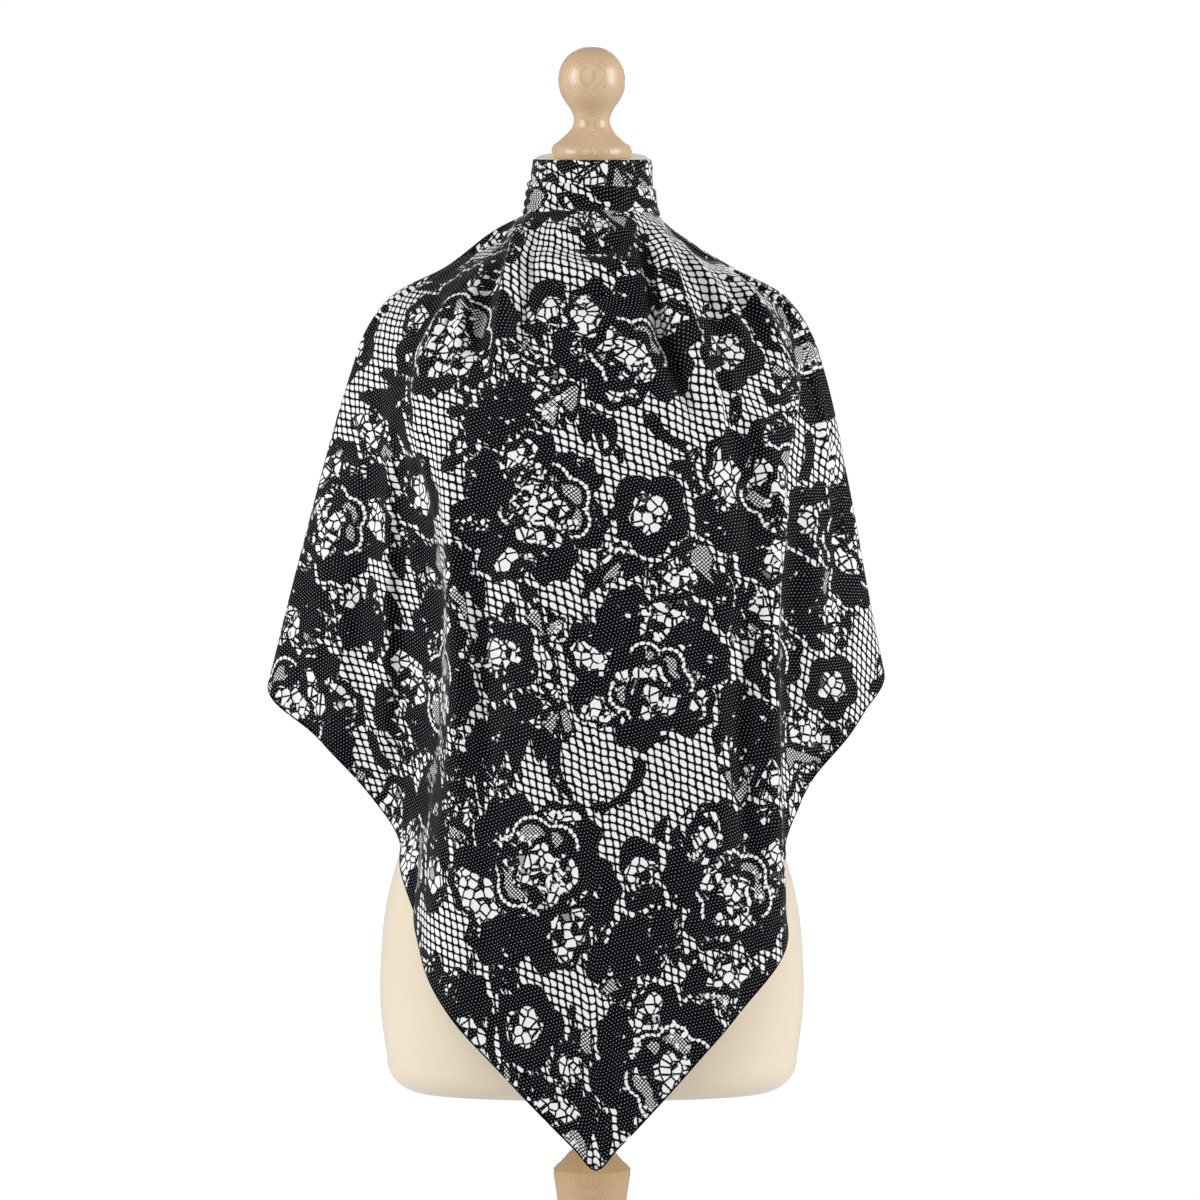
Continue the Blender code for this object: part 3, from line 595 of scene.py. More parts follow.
def make_beech():
    beech, tree, shader = blank_material("varnished_beech")
    part = tree.nodes.new("ShaderNodeSeparateXYZ")
    tree.links.new(object_place(tree, (1000.0, 1000.0, 1000.0)), part.inputs[0])
    x, y, z = (Formula(tree, axis) for axis in part.outputs)
    year = (y * 0.60 + x * 0.05 + cloudiness(tree, (28.0, 28.0, 7.0), 2.0) * 7.0).math("FRACT")
    ring = year.over(0.62, 0.32) * year.over(0.97, 0.03).flip()
    grain = cloudiness(tree, (520.0, 520.0, 22.0), 3.0, 0.6)
    cloud = cloudiness(tree, (22.0, 22.0, 9.0), 3.0)
    fleck = cloudiness(tree, (700.0, 700.0, 110.0), 1.0).over(0.69, 0.04)
    tone = (grain * 0.55 + cloud * 0.45).over(0.5, 0.28)
    wood = mix_colour(tree, tone.socket, BEECH_DARK, BEECH_PALE)
    # painted shade: below about a metre the wood turns darker and more orange, under the body
    shaded_low_down = z.over(1000.0, 300.0).flip()
    wood = mix_colour(tree, (shaded_low_down * 0.75).socket, wood, BEECH_SHADED_LOW)
    ringed = mix_colour(tree, (ring * 0.50).socket, wood, BEECH_RING)
    colour = mix_colour(tree, (fleck * 0.40).socket, ringed, BEECH_FLECK)
    tree.links.new(colour, shader.inputs["Base Color"])
    tree.links.new((grain * 0.18 + 0.30).socket, shader.inputs["Roughness"])
    shader.inputs["Coat Weight"].default_value = 0.35
    shader.inputs["Coat Roughness"].default_value = 0.18
    relief = grain - fleck * 0.5 - ring * 0.3
    tree.links.new(bump(tree, relief.socket, 0.12, 0.0004), shader.inputs["Normal"])
    return beech


def make_steel():
    steel, tree, shader = blank_material("brushed_steel")
    brushed = cloudiness(tree, (30.0, 30.0, 900.0), 3.0)
    cloud = cloudiness(tree, (25.0, 25.0, 25.0), 2.0)
    tone = brushed * 0.6 + cloud * 0.4
    colour = mix_colour(tree, tone.socket, STEEL_DARK, STEEL_PALE)
    tree.links.new(colour, shader.inputs["Base Color"])
    shader.inputs["Metallic"].default_value = 1.0
    tree.links.new((brushed * 0.25 + 0.22).socket, shader.inputs["Roughness"])
    tree.links.new(bump(tree, brushed.socket, 0.1, 0.0002), shader.inputs["Normal"])
    return steel


JERSEY = make_jersey()
BEECH = make_beech()
STEEL = make_steel()
print("jersey, beech and steel ready")

# %% [markdown]
# The form is lofted: ovals, one above another, joined by faces. The table gives each
# oval's height, half width, depth in front, depth behind and squareness. A smooth curve
# between the rows of the table gives many more ovals than the table has. The lowest ovals
# round the bottom edge, and the highest ones tilt towards the neck's slanting top.

# %% The dress form's body
BODY = (
    (0.672, 0.1700, 0.1045, 0.1155, 2.30), (0.700, 0.1740, 0.1070, 0.1210, 2.30),
    (0.750, 0.1750, 0.1080, 0.1250, 2.25), (0.800, 0.1700, 0.1070, 0.1220, 2.20),
    (0.850, 0.1560, 0.1020, 0.1080, 2.15), (0.900, 0.1360, 0.0940, 0.0920, 2.10),
    (0.960, 0.1180, 0.0870, 0.0800, 2.10), (1.010, 0.1210, 0.0950, 0.0850, 2.10),
    (1.060, 0.1320, 0.1130, 0.0900, 2.10), (1.120, 0.1440, 0.1300, 0.0940, 2.15),
    (1.170, 0.1490, 0.1220, 0.0970, 2.20), (1.220, 0.1550, 0.1040, 0.0990, 2.30),
    (1.255, 0.1600, 0.0890, 0.0960, 2.35), (1.282, 0.1560, 0.0760, 0.0900, 2.30),
    (1.302, 0.1360, 0.0670, 0.0800, 2.20), (1.322, 0.0980, 0.0590, 0.0700, 2.10),
    (1.342, 0.0640, 0.0520, 0.0600, 2.00), (1.362, 0.0500, 0.0475, 0.0520, 2.00),
    (1.388, 0.0466, 0.0458, 0.0470, 2.00),
)
BODY_BOTTOM = 0.6425
BODY_CORNER = 0.028
NECK_PLATE_Z = 1.4170
NECK_SLANT = math.radians(12.0)
NECK_TOP = (0.0466, 0.0462, 0.0466)
BODY_SIDES = 128


def oval(z, half, front, back, power, slant=0.0, sides=BODY_SIDES):
    turn = np.arange(sides) * 2 * math.pi / sides
    c, s = np.cos(turn), np.sin(turn)
    x = half * np.sign(c) * np.abs(c) ** (2 / power)
    y = np.where(s > 0, back, front) * np.sign(s) * np.abs(s) ** (2 / power)
    return np.stack([x, y, z + y * math.tan(slant)], axis=1)


def loft(name, rings):
    count = len(rings[0])
    points = np.concatenate(rings)
    faces = []
    for r in range(len(rings) - 1):
        for i in range(count):
            j = (i + 1) % count
            faces.append((r * count + i, r * count + j, (r + 1) * count + j, (r + 1) * count + i))
    faces.append(tuple(reversed(range(count))))
    faces.append(tuple(range(len(points) - count, len(points))))
    return mesh_of(name, points, faces)


def make_body():
    rings = []
    first = BODY[0]
    for turn in np.radians(np.linspace(0.0, 84.0, 9)):
        inset = BODY_CORNER * (1 - math.sin(turn))
        z = BODY_BOTTOM + BODY_CORNER * (1 - math.cos(turn))
        rings.append(oval(z, first[1] - inset, first[2] - inset, first[3] - inset, first[4]))
    rings += [oval(*row) for row in curve_through(BODY, np.linspace(0.0, 1.0, 110))]
    rings.append(oval(NECK_PLATE_Z - 0.015, *NECK_TOP, 2.0, 0.45 * NECK_SLANT))
    for drop, inset in ((0.0022, 0.0), (0.0010, 0.0004), (0.0002, 0.0014), (0.0, 0.0030)):
        rings.append(oval(NECK_PLATE_Z - drop, *(r - inset for r in NECK_TOP), 2.0, NECK_SLANT))
    body = link("form_body_cover", loft("form_body_cover", rings), JERSEY)
    body.data.set_sharp_from_angle(angle=math.radians(50))
    return body


body = make_body()
body_tree = tree_of(body.data)
print("body has", len(body.data.polygons), "faces")

# %% [markdown]
# The knob, column, base, pole and socket are lathe work. The profiles of the wooden ones
# are smoothed by the same curve. The Screw modifier sweeps each profile round the axis,
# and the result is kept as a plain mesh. Sharp corners are points that lie close together.

# %% Turned pieces
KNOB_HEIGHT = 0.0912
COLUMN_TOP = 0.5925
BASE_TOP = 0.028
CAD_GAP = 0.0003
SOCKET_TOP = BODY_BOTTOM - CAD_GAP
SOCKET_BOTTOM = SOCKET_TOP - 0.022
KNOB = ((0.0000, KNOB_HEIGHT), (0.0090, 0.0899), (0.0171, 0.0858), (0.0238, 0.0784),
        (0.0273, 0.0696), (0.0279, 0.0614), (0.0264, 0.0534), (0.0223, 0.0454),
        (0.0176, 0.0386), (0.0152, 0.0320), (0.0157, 0.0262), (0.0196, 0.0204),
        (0.0268, 0.0142), (0.0324, 0.0092), (0.0336, 0.0054), (0.0326, 0.0012),
        (0.0322, 0.0001), (0.0000, 0.0000))
COLUMN = ((0.0000, COLUMN_TOP), (0.0176, COLUMN_TOP), (0.0180, 0.5921), (0.0200, 0.5900),
          (0.0250, 0.5840), (0.0305, 0.5790), (0.0322, 0.5765), (0.0318, 0.5730),
          (0.0287, 0.5510), (0.0255, 0.5150), (0.0232, 0.4600), (0.0228, 0.4000),
          (0.0245, 0.3200), (0.0285, 0.2300), (0.0325, 0.1500), (0.0335, 0.1100),
          (0.0300, 0.0900), (0.0345, 0.0820), (0.0410, 0.0680), (0.0470, 0.0500),
          (0.0490, 0.0340), (0.0480, 0.0287), (0.0476, 0.0283), (0.0000, 0.0283))
BASE = ((0.0000, BASE_TOP), (0.0900, BASE_TOP), (0.1500, 0.0250), (0.1700, 0.0235),
        (0.1790, 0.0195), (0.1835, 0.0140), (0.1850, 0.0080), (0.1835, 0.0025),
        (0.1795, 0.0002), (0.1785, 0.0000), (0.0000, 0.0000))
POLE = ((0.0000, SOCKET_BOTTOM - CAD_GAP), (0.0121, SOCKET_BOTTOM - CAD_GAP),
        (0.0125, SOCKET_BOTTOM - 0.0007), (0.0125, COLUMN_TOP + 0.0007),
        (0.0121, COLUMN_TOP + CAD_GAP), (0.0000, COLUMN_TOP + CAD_GAP))
SOCKET = ((0.0000, SOCKET_TOP), (0.0415, SOCKET_TOP), (0.0420, SOCKET_TOP - 0.0006),
          (0.0420, SOCKET_TOP - 0.0034), (0.0415, SOCKET_TOP - 0.0042),
          (0.0231, SOCKET_TOP - 0.0080), (0.0222, SOCKET_TOP - 0.0095),
          (0.0210, SOCKET_BOTTOM + 0.0008), (0.0202, SOCKET_BOTTOM), (0.0000, SOCKET_BOTTOM))


def turned(name, profile, material, smooth, tilt=0.0, height=0.0):
    flat = [(radius, 0.0, z) for radius, z in profile]
    outline = np.array(flat)
    if smooth:
        outline = curve_through(flat, np.linspace(0.0, 1.0, 150))
    outline[:, 0] = np.maximum(outline[:, 0], 0.0)
    outline[:, 2] = np.clip(outline[:, 2], profile[-1][1], profile[0][1])
    outline[0, 0] = 0.0
    outline[-1, 0] = 0.0
    mesh = bpy.data.meshes.new(name)
    mesh.from_pydata([tuple(p) for p in outline], [(i, i + 1) for i in range(len(outline) - 1)], [])
    maker = link(name, mesh, material)
    screw = maker.modifiers.new("lathe", "SCREW")
    screw.steps = 96
    screw.render_steps = 96
    screw.use_merge_vertices = True
    screw.merge_threshold = 0.00001
    return settle_mesh(maker, name, material, tilt, height)


def settle_mesh(maker, name, material, tilt=0.0, height=0.0):
    """The evaluated object as a plain mesh whose place is in its points."""
    graph = bpy.context.evaluated_depsgraph_get()
    mesh = bpy.data.meshes.new_from_object(maker.evaluated_get(graph))
    bpy.data.objects.remove(maker)
    c, s = math.cos(tilt), math.sin(tilt)
    for vert in mesh.vertices:
        x, y, z = vert.co
        vert.co = (x, c * y - s * z, s * y + c * z + height)
    shape = bmesh.new()
    shape.from_mesh(mesh)
    bmesh.ops.recalc_face_normals(shape, faces=shape.faces)
    shape.to_mesh(mesh)
    shape.free()
    mesh.shade_smooth()
    mesh.set_sharp_from_angle(angle=math.radians(38))
    mesh.materials.clear()
    piece = link(name, mesh, material)
    piece.name = name
    return piece


knob_foot = NECK_PLATE_Z + CAD_GAP / math.cos(NECK_SLANT)
knob = turned("turned_knob", KNOB, BEECH, True, NECK_SLANT, knob_foot)
column = turned("turned_column", COLUMN, BEECH, True)
base = turned("turned_base", BASE, BEECH, True)
pole = turned("round_pole", POLE, STEEL, False)
socket = turned("pole_socket", SOCKET, STEEL, False)
print("turned pieces", [len(p.data.polygons) for p in (knob, column, base, pole, socket)])

# %% [markdown]
# The print's motifs are laid out on the flat cloth: full flowers on a loose lattice, each
# with leaves and a tendril round it, and small rosettes between. Every motif gives, for
# each point of a mesh, distances in millimetres to its edges. Later motifs lie over
# earlier ones. A fixed seed keeps the layout the same in each run.

# %% The print's motifs
FLOWER_STEP = (188.0, 146.0)
LAYOUT_SEED = 23
# the value, in millimetres, that a field has where it shows nothing
NOWHERE = 9.0
rng = np.random.default_rng(LAYOUT_SEED)


def lay_out():
    """Leaves first, then tendrils and rosettes, and the flowers over them all."""
    leaves, tendrils, rosettes, flowers = [], [], [], []
    for row, v in enumerate(np.arange(-60.0, 1200.0, FLOWER_STEP[1])):
        shift = 0.5 * FLOWER_STEP[0] * (row % 2)
        for u in np.arange(-1180.0 + shift, 1181.0, FLOWER_STEP[0]):
            x = u + rng.uniform(-24.0, 24.0)
            y = v + rng.uniform(-18.0, 18.0)
            radius = rng.uniform(60.0, 80.0)
            flowers.append((x, y, radius, int(rng.integers(5, 8)), rng.uniform(0, 6.3),
                            rng.uniform(0.46, 0.60)))
            first = rng.uniform(0, 6.3)
            for k in range(3):
                turn = first + k * 2.09 + rng.uniform(-0.4, 0.4)
                start = radius * 0.72
                leaves.append((x + start * math.cos(turn), y + start * math.sin(turn), turn,
                               rng.uniform(104.0, 158.0), rng.uniform(30.0, 42.0),
                               rng.uniform(-0.55, 0.55)))
            turn = first + 0.78
            tendrils.append((x + radius * math.cos(turn), y + radius * math.sin(turn),
                             rng.uniform(28.0, 42.0), rng.uniform(0, 6.3)))
            rosettes.append((x + 0.5 * FLOWER_STEP[0] + rng.uniform(-12, 12),
                             y + rng.uniform(-14, 14), rng.uniform(27.0, 37.0), 5,
                             rng.uniform(0, 6.3)))
    return leaves, tendrils, rosettes, flowers


def leaf_fields(x, y, leaf):
    base_x, base_y, turn, length, half, bend = leaf
    c, s = math.cos(turn), math.sin(turn)
    along = (x - base_x) * c + (y - base_y) * s
    side = -(x - base_x) * s + (y - base_y) * c - bend * along * along / length
    t = np.clip(along / length, 0.0, 1.0)
    tooth = np.abs(np.sin(math.pi * (0.042 * along - 0.9 * np.abs(side) / half))) ** 0.8
    width = half * np.sin(math.pi * t ** 0.8) ** 0.75 * (0.32 + 0.76 * tooth)
    mass = np.minimum(width - np.abs(side), np.minimum(along + 2.0, length - along + 1.0))
    cells = np.minimum(width - np.abs(side) - 6.0, -side - 3.0)
    pebbled = np.minimum(cells, 20.0 * np.sin(2.6 * math.pi * t + half) - 6.0)
    lace = np.minimum(width - np.abs(side) - 6.0, side - 4.0)
    lace = np.minimum(lace, 16.0 * np.sin(2.2 * math.pi * t + half) - 8.0)
    far = np.full_like(x, NOWHERE)
    return mass, far, -far, pebbled, lace, along


def flower_fields(x, y, flower):
    base_x, base_y, radius, petals, turn, spread = flower
    dx, dy = x - base_x, y - base_y
    r = np.hypot(dx, dy)
    angle = np.arctan2(dy, dx) - turn
    lean = angle + 0.35 * r / radius
    outer = radius * (0.76 + 0.22 * np.abs(np.cos(0.5 * petals * lean)) ** 0.7
                      + 0.035 * np.sin(3.0 * petals * angle))
    aside_x, aside_y = dx - 0.20 * radius * math.cos(turn), dy - 0.20 * radius * math.sin(turn)
    from_heart = np.hypot(aside_x, aside_y)
    round_heart = np.arctan2(aside_y, aside_x) - turn
    middle = spread * radius * (0.84 + 0.20 * np.abs(np.sin(0.5 * petals * round_heart)) ** 0.8)
    core = 0.50 * spread * radius * (0.88 + 0.16 * np.cos(5.0 * round_heart))
    arc = 14.0 * np.sin(round_heart * 1.5 + 1.2) + 2.0
    pick = np.sin(petals * lean * 0.5 + 0.8)
    rim_cells = np.minimum(from_heart - middle - 5.0, outer - 8.0 - r)
    webbed = np.minimum(rim_cells, (pick - 0.35) * 0.5 * r)
    crescent = np.minimum(from_heart - core - 5.0, middle - 4.0 - from_heart)
    crescent = np.minimum(crescent, -arc - 4.0)
    inner = np.minimum(from_heart - core - 6.0, middle - 6.0 - from_heart)
    inner = np.minimum(inner, arc - 8.0)
    hearts = np.maximum(core - from_heart, np.maximum(webbed, crescent))
    return outer - r, from_heart - middle, arc, hearts, inner, round_heart * spread * radius


def rosette_fields(x, y, rosette):
    base_x, base_y, radius, petals, turn = rosette
    r = np.hypot(x - base_x, y - base_y)
    angle = np.arctan2(y - base_y, x - base_x) - turn
    outer = radius * (0.78 + 0.24 * np.abs(np.cos(0.5 * petals * angle)))
    far = np.full_like(x, NOWHERE)
    return outer - r, far, -far, 0.48 * outer - r, -far, r


def tendril_fields(x, y, tendril):
    base_x, base_y, radius, turn = tendril
    dx, dy = x - base_x - radius * math.cos(turn), y - base_y - radius * math.sin(turn)
    r = np.hypot(dx, dy)
    open_side = r * np.sin(0.5 * (np.arctan2(dy, dx) - turn)) ** 2 * 2.0
    mass = np.minimum(5.6 - np.abs(r - radius), open_side - 0.25 * radius)
    far = np.full_like(x, NOWHERE)
    return mass, far, -far, -far, -far, r


LEAVES, TENDRILS, ROSETTES, FLOWERS = lay_out()
# what draws each kind of motif, the motifs, their reach and the rim they clear
PAINTERS = ((tendril_fields, TENDRILS, 95.0, 1.0), (leaf_fields, LEAVES, 165.0, 4.0),
            (rosette_fields, ROSETTES, 46.0, 5.0), (flower_fields, FLOWERS, 92.0, 5.5))


def print_fields(flat):
    """The six fields of the print at flat places, given in metres.

    A motif also clears a narrow rim round itself, where the net shows between it and
    the motif beneath.
    """
    x, y = flat[:, 0] * 1000.0, flat[:, 1] * 1000.0
    found = np.zeros((len(FIELDS), len(x)))
    found[0] = -30.0
    found[1] = NOWHERE
    found[2:5] = -NOWHERE
    for painter, motifs, reach, rim in PAINTERS:
        for motif in motifs:
            near = (np.abs(x - motif[0]) < reach) & (np.abs(y - motif[1]) < reach)
            if not near.any():
                continue
            values = np.stack(painter(x[near], y[near], motif))
            found[:, near] = np.where(values[0] > -rim, values, found[:, near])
    return found


def print_on(piece, flat):
    """Stores the flat coordinates and the print's fields on a mesh, one for each point."""
    mesh = piece.data
    corner = np.zeros(len(mesh.loops), np.int32)
    mesh.loops.foreach_get("vertex_index", corner)
    layer = mesh.uv_layers.new(name="cloth")
    layer.data.foreach_set("uv", flat[corner].astype(np.float32).ravel())
    for name, values in zip(FIELDS, print_fields(flat)):
        field = mesh.attributes.new("lace_" + name, "FLOAT", "POINT")
        field.data.foreach_set("value", values.astype(np.float32))
    return piece


sample = np.stack(np.meshgrid(np.arange(-0.4, 0.4, 0.004), np.arange(0.2, 0.9, 0.004)), -1)
sample = sample.reshape(-1, 2)
print("share of the cloth under motifs", round(float((print_fields(sample)[0] > 0).mean()), 2))

# %% [markdown]
# The cape hangs in folds, and each main fold is a line that runs from the neck down to the
# hem. A maker would see these lines first, so they are the table to start from: the cloth
# is a smooth surface through them. Its creases are added as soft troughs and
# ridges, each with its own path, depth and width. Some lean, with one side steeper.

# %% The cape's fold lines
CENTRE = ((0.0000, -0.0540, 1.3680), (0.0000, -0.0700, 1.3480), (0.0000, -0.0950, 1.3120),
          (0.0000, -0.1200, 1.2500), (0.0010, -0.1345, 1.1700), (0.0010, -0.1400, 1.0800),
          (0.0020, -0.1420, 0.9500), (0.0030, -0.1430, 0.7800), (0.0034, -0.1430, 0.5955))
CORNER_STEP = 0.016


def beside_centre(aside):
    moved = [(x + aside * min(1.0, 0.55 + k * 0.15), y, z) for k, (x, y, z) in enumerate(CENTRE)]
    x, y, z = moved[-1]
    moved[-1] = (x, y, z + abs(aside))
    return tuple(moved)


RIBS = (
    ((-0.0100, 0.0540, 1.3740), (-0.0180, 0.0660, 1.3600), (-0.0280, 0.0780, 1.3400)),
    ((-0.0220, 0.0500, 1.3730), (-0.0360, 0.0620, 1.3570), (-0.0580, 0.0800, 1.3280),
     (-0.0800, 0.0910, 1.2900), (-0.0960, 0.0960, 1.2350)),
    ((-0.0350, 0.0430, 1.3720), (-0.0560, 0.0500, 1.3550), (-0.0900, 0.0640, 1.3230),
     (-0.1280, 0.0770, 1.2830), (-0.1530, 0.0860, 1.2250), (-0.1650, 0.0930, 1.1350)),
    ((-0.0480, 0.0280, 1.3710), (-0.0750, 0.0270, 1.3520), (-0.1160, 0.0300, 1.3230),
     (-0.1620, 0.0360, 1.2880), (-0.1850, 0.0440, 1.2350), (-0.1990, 0.0520, 1.1700),
     (-0.2100, 0.0570, 1.1100), (-0.2220, 0.0580, 1.0350)),
    ((-0.0535, 0.0120, 1.3715), (-0.0800, 0.0100, 1.3575), (-0.1200, 0.0080, 1.3275),
     (-0.1710, 0.0060, 1.2980), (-0.1905, 0.0040, 1.2680), (-0.2005, 0.0040, 1.2380),
     (-0.2180, 0.0060, 1.1785), (-0.2338, 0.0100, 1.1187), (-0.2495, 0.0140, 1.0590),
     (-0.2700, 0.0200, 0.9743)),
    ((-0.0545, 0.0020, 1.3710), (-0.0760, 0.0020, 1.3520), (-0.1200, -0.0030, 1.3240),
     (-0.1680, -0.0120, 1.2860), (-0.1880, -0.0200, 1.2300), (-0.1960, -0.0240, 1.1640),
     (-0.2020, -0.0240, 1.0980), (-0.2100, -0.0200, 1.0300), (-0.2225, 0.0010, 0.9300)),
    ((-0.0545, -0.0080, 1.3705), (-0.0720, -0.0130, 1.3510), (-0.1150, -0.0240, 1.3170),
     (-0.1540, -0.0380, 1.2800), (-0.1650, -0.0480, 1.2250), (-0.1570, -0.0500, 1.1640),
     (-0.1510, -0.0480, 1.0980), (-0.1530, -0.0420, 1.0300), (-0.1560, -0.0280, 0.9500),
     (-0.1680, -0.0060, 0.8660)),
    ((-0.0480, -0.0280, 1.3695), (-0.0610, -0.0450, 1.3500), (-0.0870, -0.0720, 1.3130),
     (-0.1090, -0.0950, 1.2500), (-0.1190, -0.1100, 1.1700), (-0.1130, -0.1230, 1.0850),
     (-0.1050, -0.1300, 1.0000), (-0.1090, -0.1320, 0.8600), (-0.1210, -0.1260, 0.7270)),
    ((-0.0290, -0.0470, 1.3685), (-0.0370, -0.0640, 1.3480), (-0.0480, -0.0900, 1.3110),
     (-0.0560, -0.1140, 1.2500), (-0.0600, -0.1300, 1.1700), (-0.0600, -0.1370, 1.0800),
     (-0.0580, -0.1390, 0.9500), (-0.0580, -0.1400, 0.8200), (-0.0605, -0.1390, 0.6600)),
    beside_centre(-CORNER_STEP),
    CENTRE,
    beside_centre(CORNER_STEP),
    ((0.0290, -0.0470, 1.3685), (0.0370, -0.0640, 1.3480), (0.0490, -0.0900, 1.3110),
     (0.0580, -0.1130, 1.2500), (0.0610, -0.1300, 1.1700), (0.0620, -0.1370, 1.0800),
     (0.0620, -0.1390, 0.9500), (0.0630, -0.1400, 0.8200), (0.0655, -0.1380, 0.6600)),
    ((0.0410, -0.0370, 1.3690), (0.0520, -0.0540, 1.3490), (0.0760, -0.0780, 1.3150),
     (0.1010, -0.0970, 1.2500), (0.1080, -0.1140, 1.1700), (0.1060, -0.1270, 1.0800),
     (0.1060, -0.1340, 0.9500), (0.1090, -0.1340, 0.8300), (0.1130, -0.1300, 0.7140)),
    ((0.0480, -0.0250, 1.3695), (0.0630, -0.0380, 1.3490), (0.1020, -0.0520, 1.3180),
     (0.1450, -0.0580, 1.2830), (0.1690, -0.0640, 1.2290), (0.1610, -0.0830, 1.1720),
     (0.1500, -0.1020, 1.1130), (0.1440, -0.1160, 1.0490), (0.1430, -0.1220, 0.9500),
     (0.1470, -0.1190, 0.8600), (0.1570, -0.1060, 0.7700)),
    ((0.0520, -0.0070, 1.3705), (0.0680, -0.0120, 1.3500), (0.1120, -0.0200, 1.3190),
     (0.1540, -0.0320, 1.2810), (0.1660, -0.0440, 1.2290), (0.1550, -0.0520, 1.1720),
     (0.1450, -0.0580, 1.1130), (0.1400, -0.0620, 1.0490), (0.1390, -0.0620, 0.9500),
     (0.1420, -0.0570, 0.8700), (0.1500, -0.0500, 0.8150)),
    ((0.0525, 0.0030, 1.3710), (0.0700, 0.0030, 1.3510), (0.1150, 0.0010, 1.3240),
     (0.1600, -0.0060, 1.2860), (0.1780, -0.0120, 1.2290), (0.1840, -0.0140, 1.1720),
     (0.1860, -0.0130, 1.1130), (0.1860, -0.0090, 1.0490), (0.1840, -0.0020, 0.9600),
     (0.1820, 0.0010, 0.8970)),
    ((0.0525, 0.0080, 1.3715), (0.0695, 0.0080, 1.3550), (0.1140, 0.0060, 1.3270),
     (0.1640, 0.0010, 1.2950), (0.1890, -0.0030, 1.2350), (0.2010, 0.0000, 1.1760),
     (0.2090, 0.0050, 1.1160), (0.2170, 0.0120, 1.0560), (0.2290, 0.0240, 0.9560)),
    ((0.0515, 0.0140, 1.3715), (0.0680, 0.0130, 1.3575), (0.1143, 0.0110, 1.3275),
     (0.1645, 0.0100, 1.2980), (0.1838, 0.0110, 1.2680), (0.1937, 0.0130, 1.2380),
     (0.2078, 0.0190, 1.1785), (0.2194, 0.0270, 1.1187), (0.2302, 0.0350, 1.0590),
     (0.2455, 0.0470, 0.9840)),
    ((0.0470, 0.0290, 1.3710), (0.0720, 0.0290, 1.3520), (0.1120, 0.0340, 1.3220),
     (0.1560, 0.0420, 1.2870), (0.1770, 0.0530, 1.2350), (0.1880, 0.0640, 1.1700),
     (0.1960, 0.0740, 1.1100), (0.2040, 0.0840, 1.0450)),
    ((0.0350, 0.0430, 1.3720), (0.0560, 0.0500, 1.3550), (0.0890, 0.0650, 1.3230),
     (0.1230, 0.0790, 1.2830), (0.1450, 0.0900, 1.2250), (0.1540, 0.1010, 1.1400)),
    ((0.0220, 0.0500, 1.3730), (0.0360, 0.0620, 1.3570), (0.0570, 0.0800, 1.3280),
     (0.0780, 0.0920, 1.2900), (0.0910, 0.0970, 1.2400)),
    ((0.0100, 0.0540, 1.3740), (0.0180, 0.0660, 1.3600), (0.0270, 0.0780, 1.3420)),
)
STRIPS = (2, 3, 3, 4, 4, 3, 4, 4, 3, 1, 1, 3, 3, 4, 4, 3, 3, 3, 4, 3, 3, 2)
CENTRE_RIB = 10
print(len(RIBS), "fold lines")

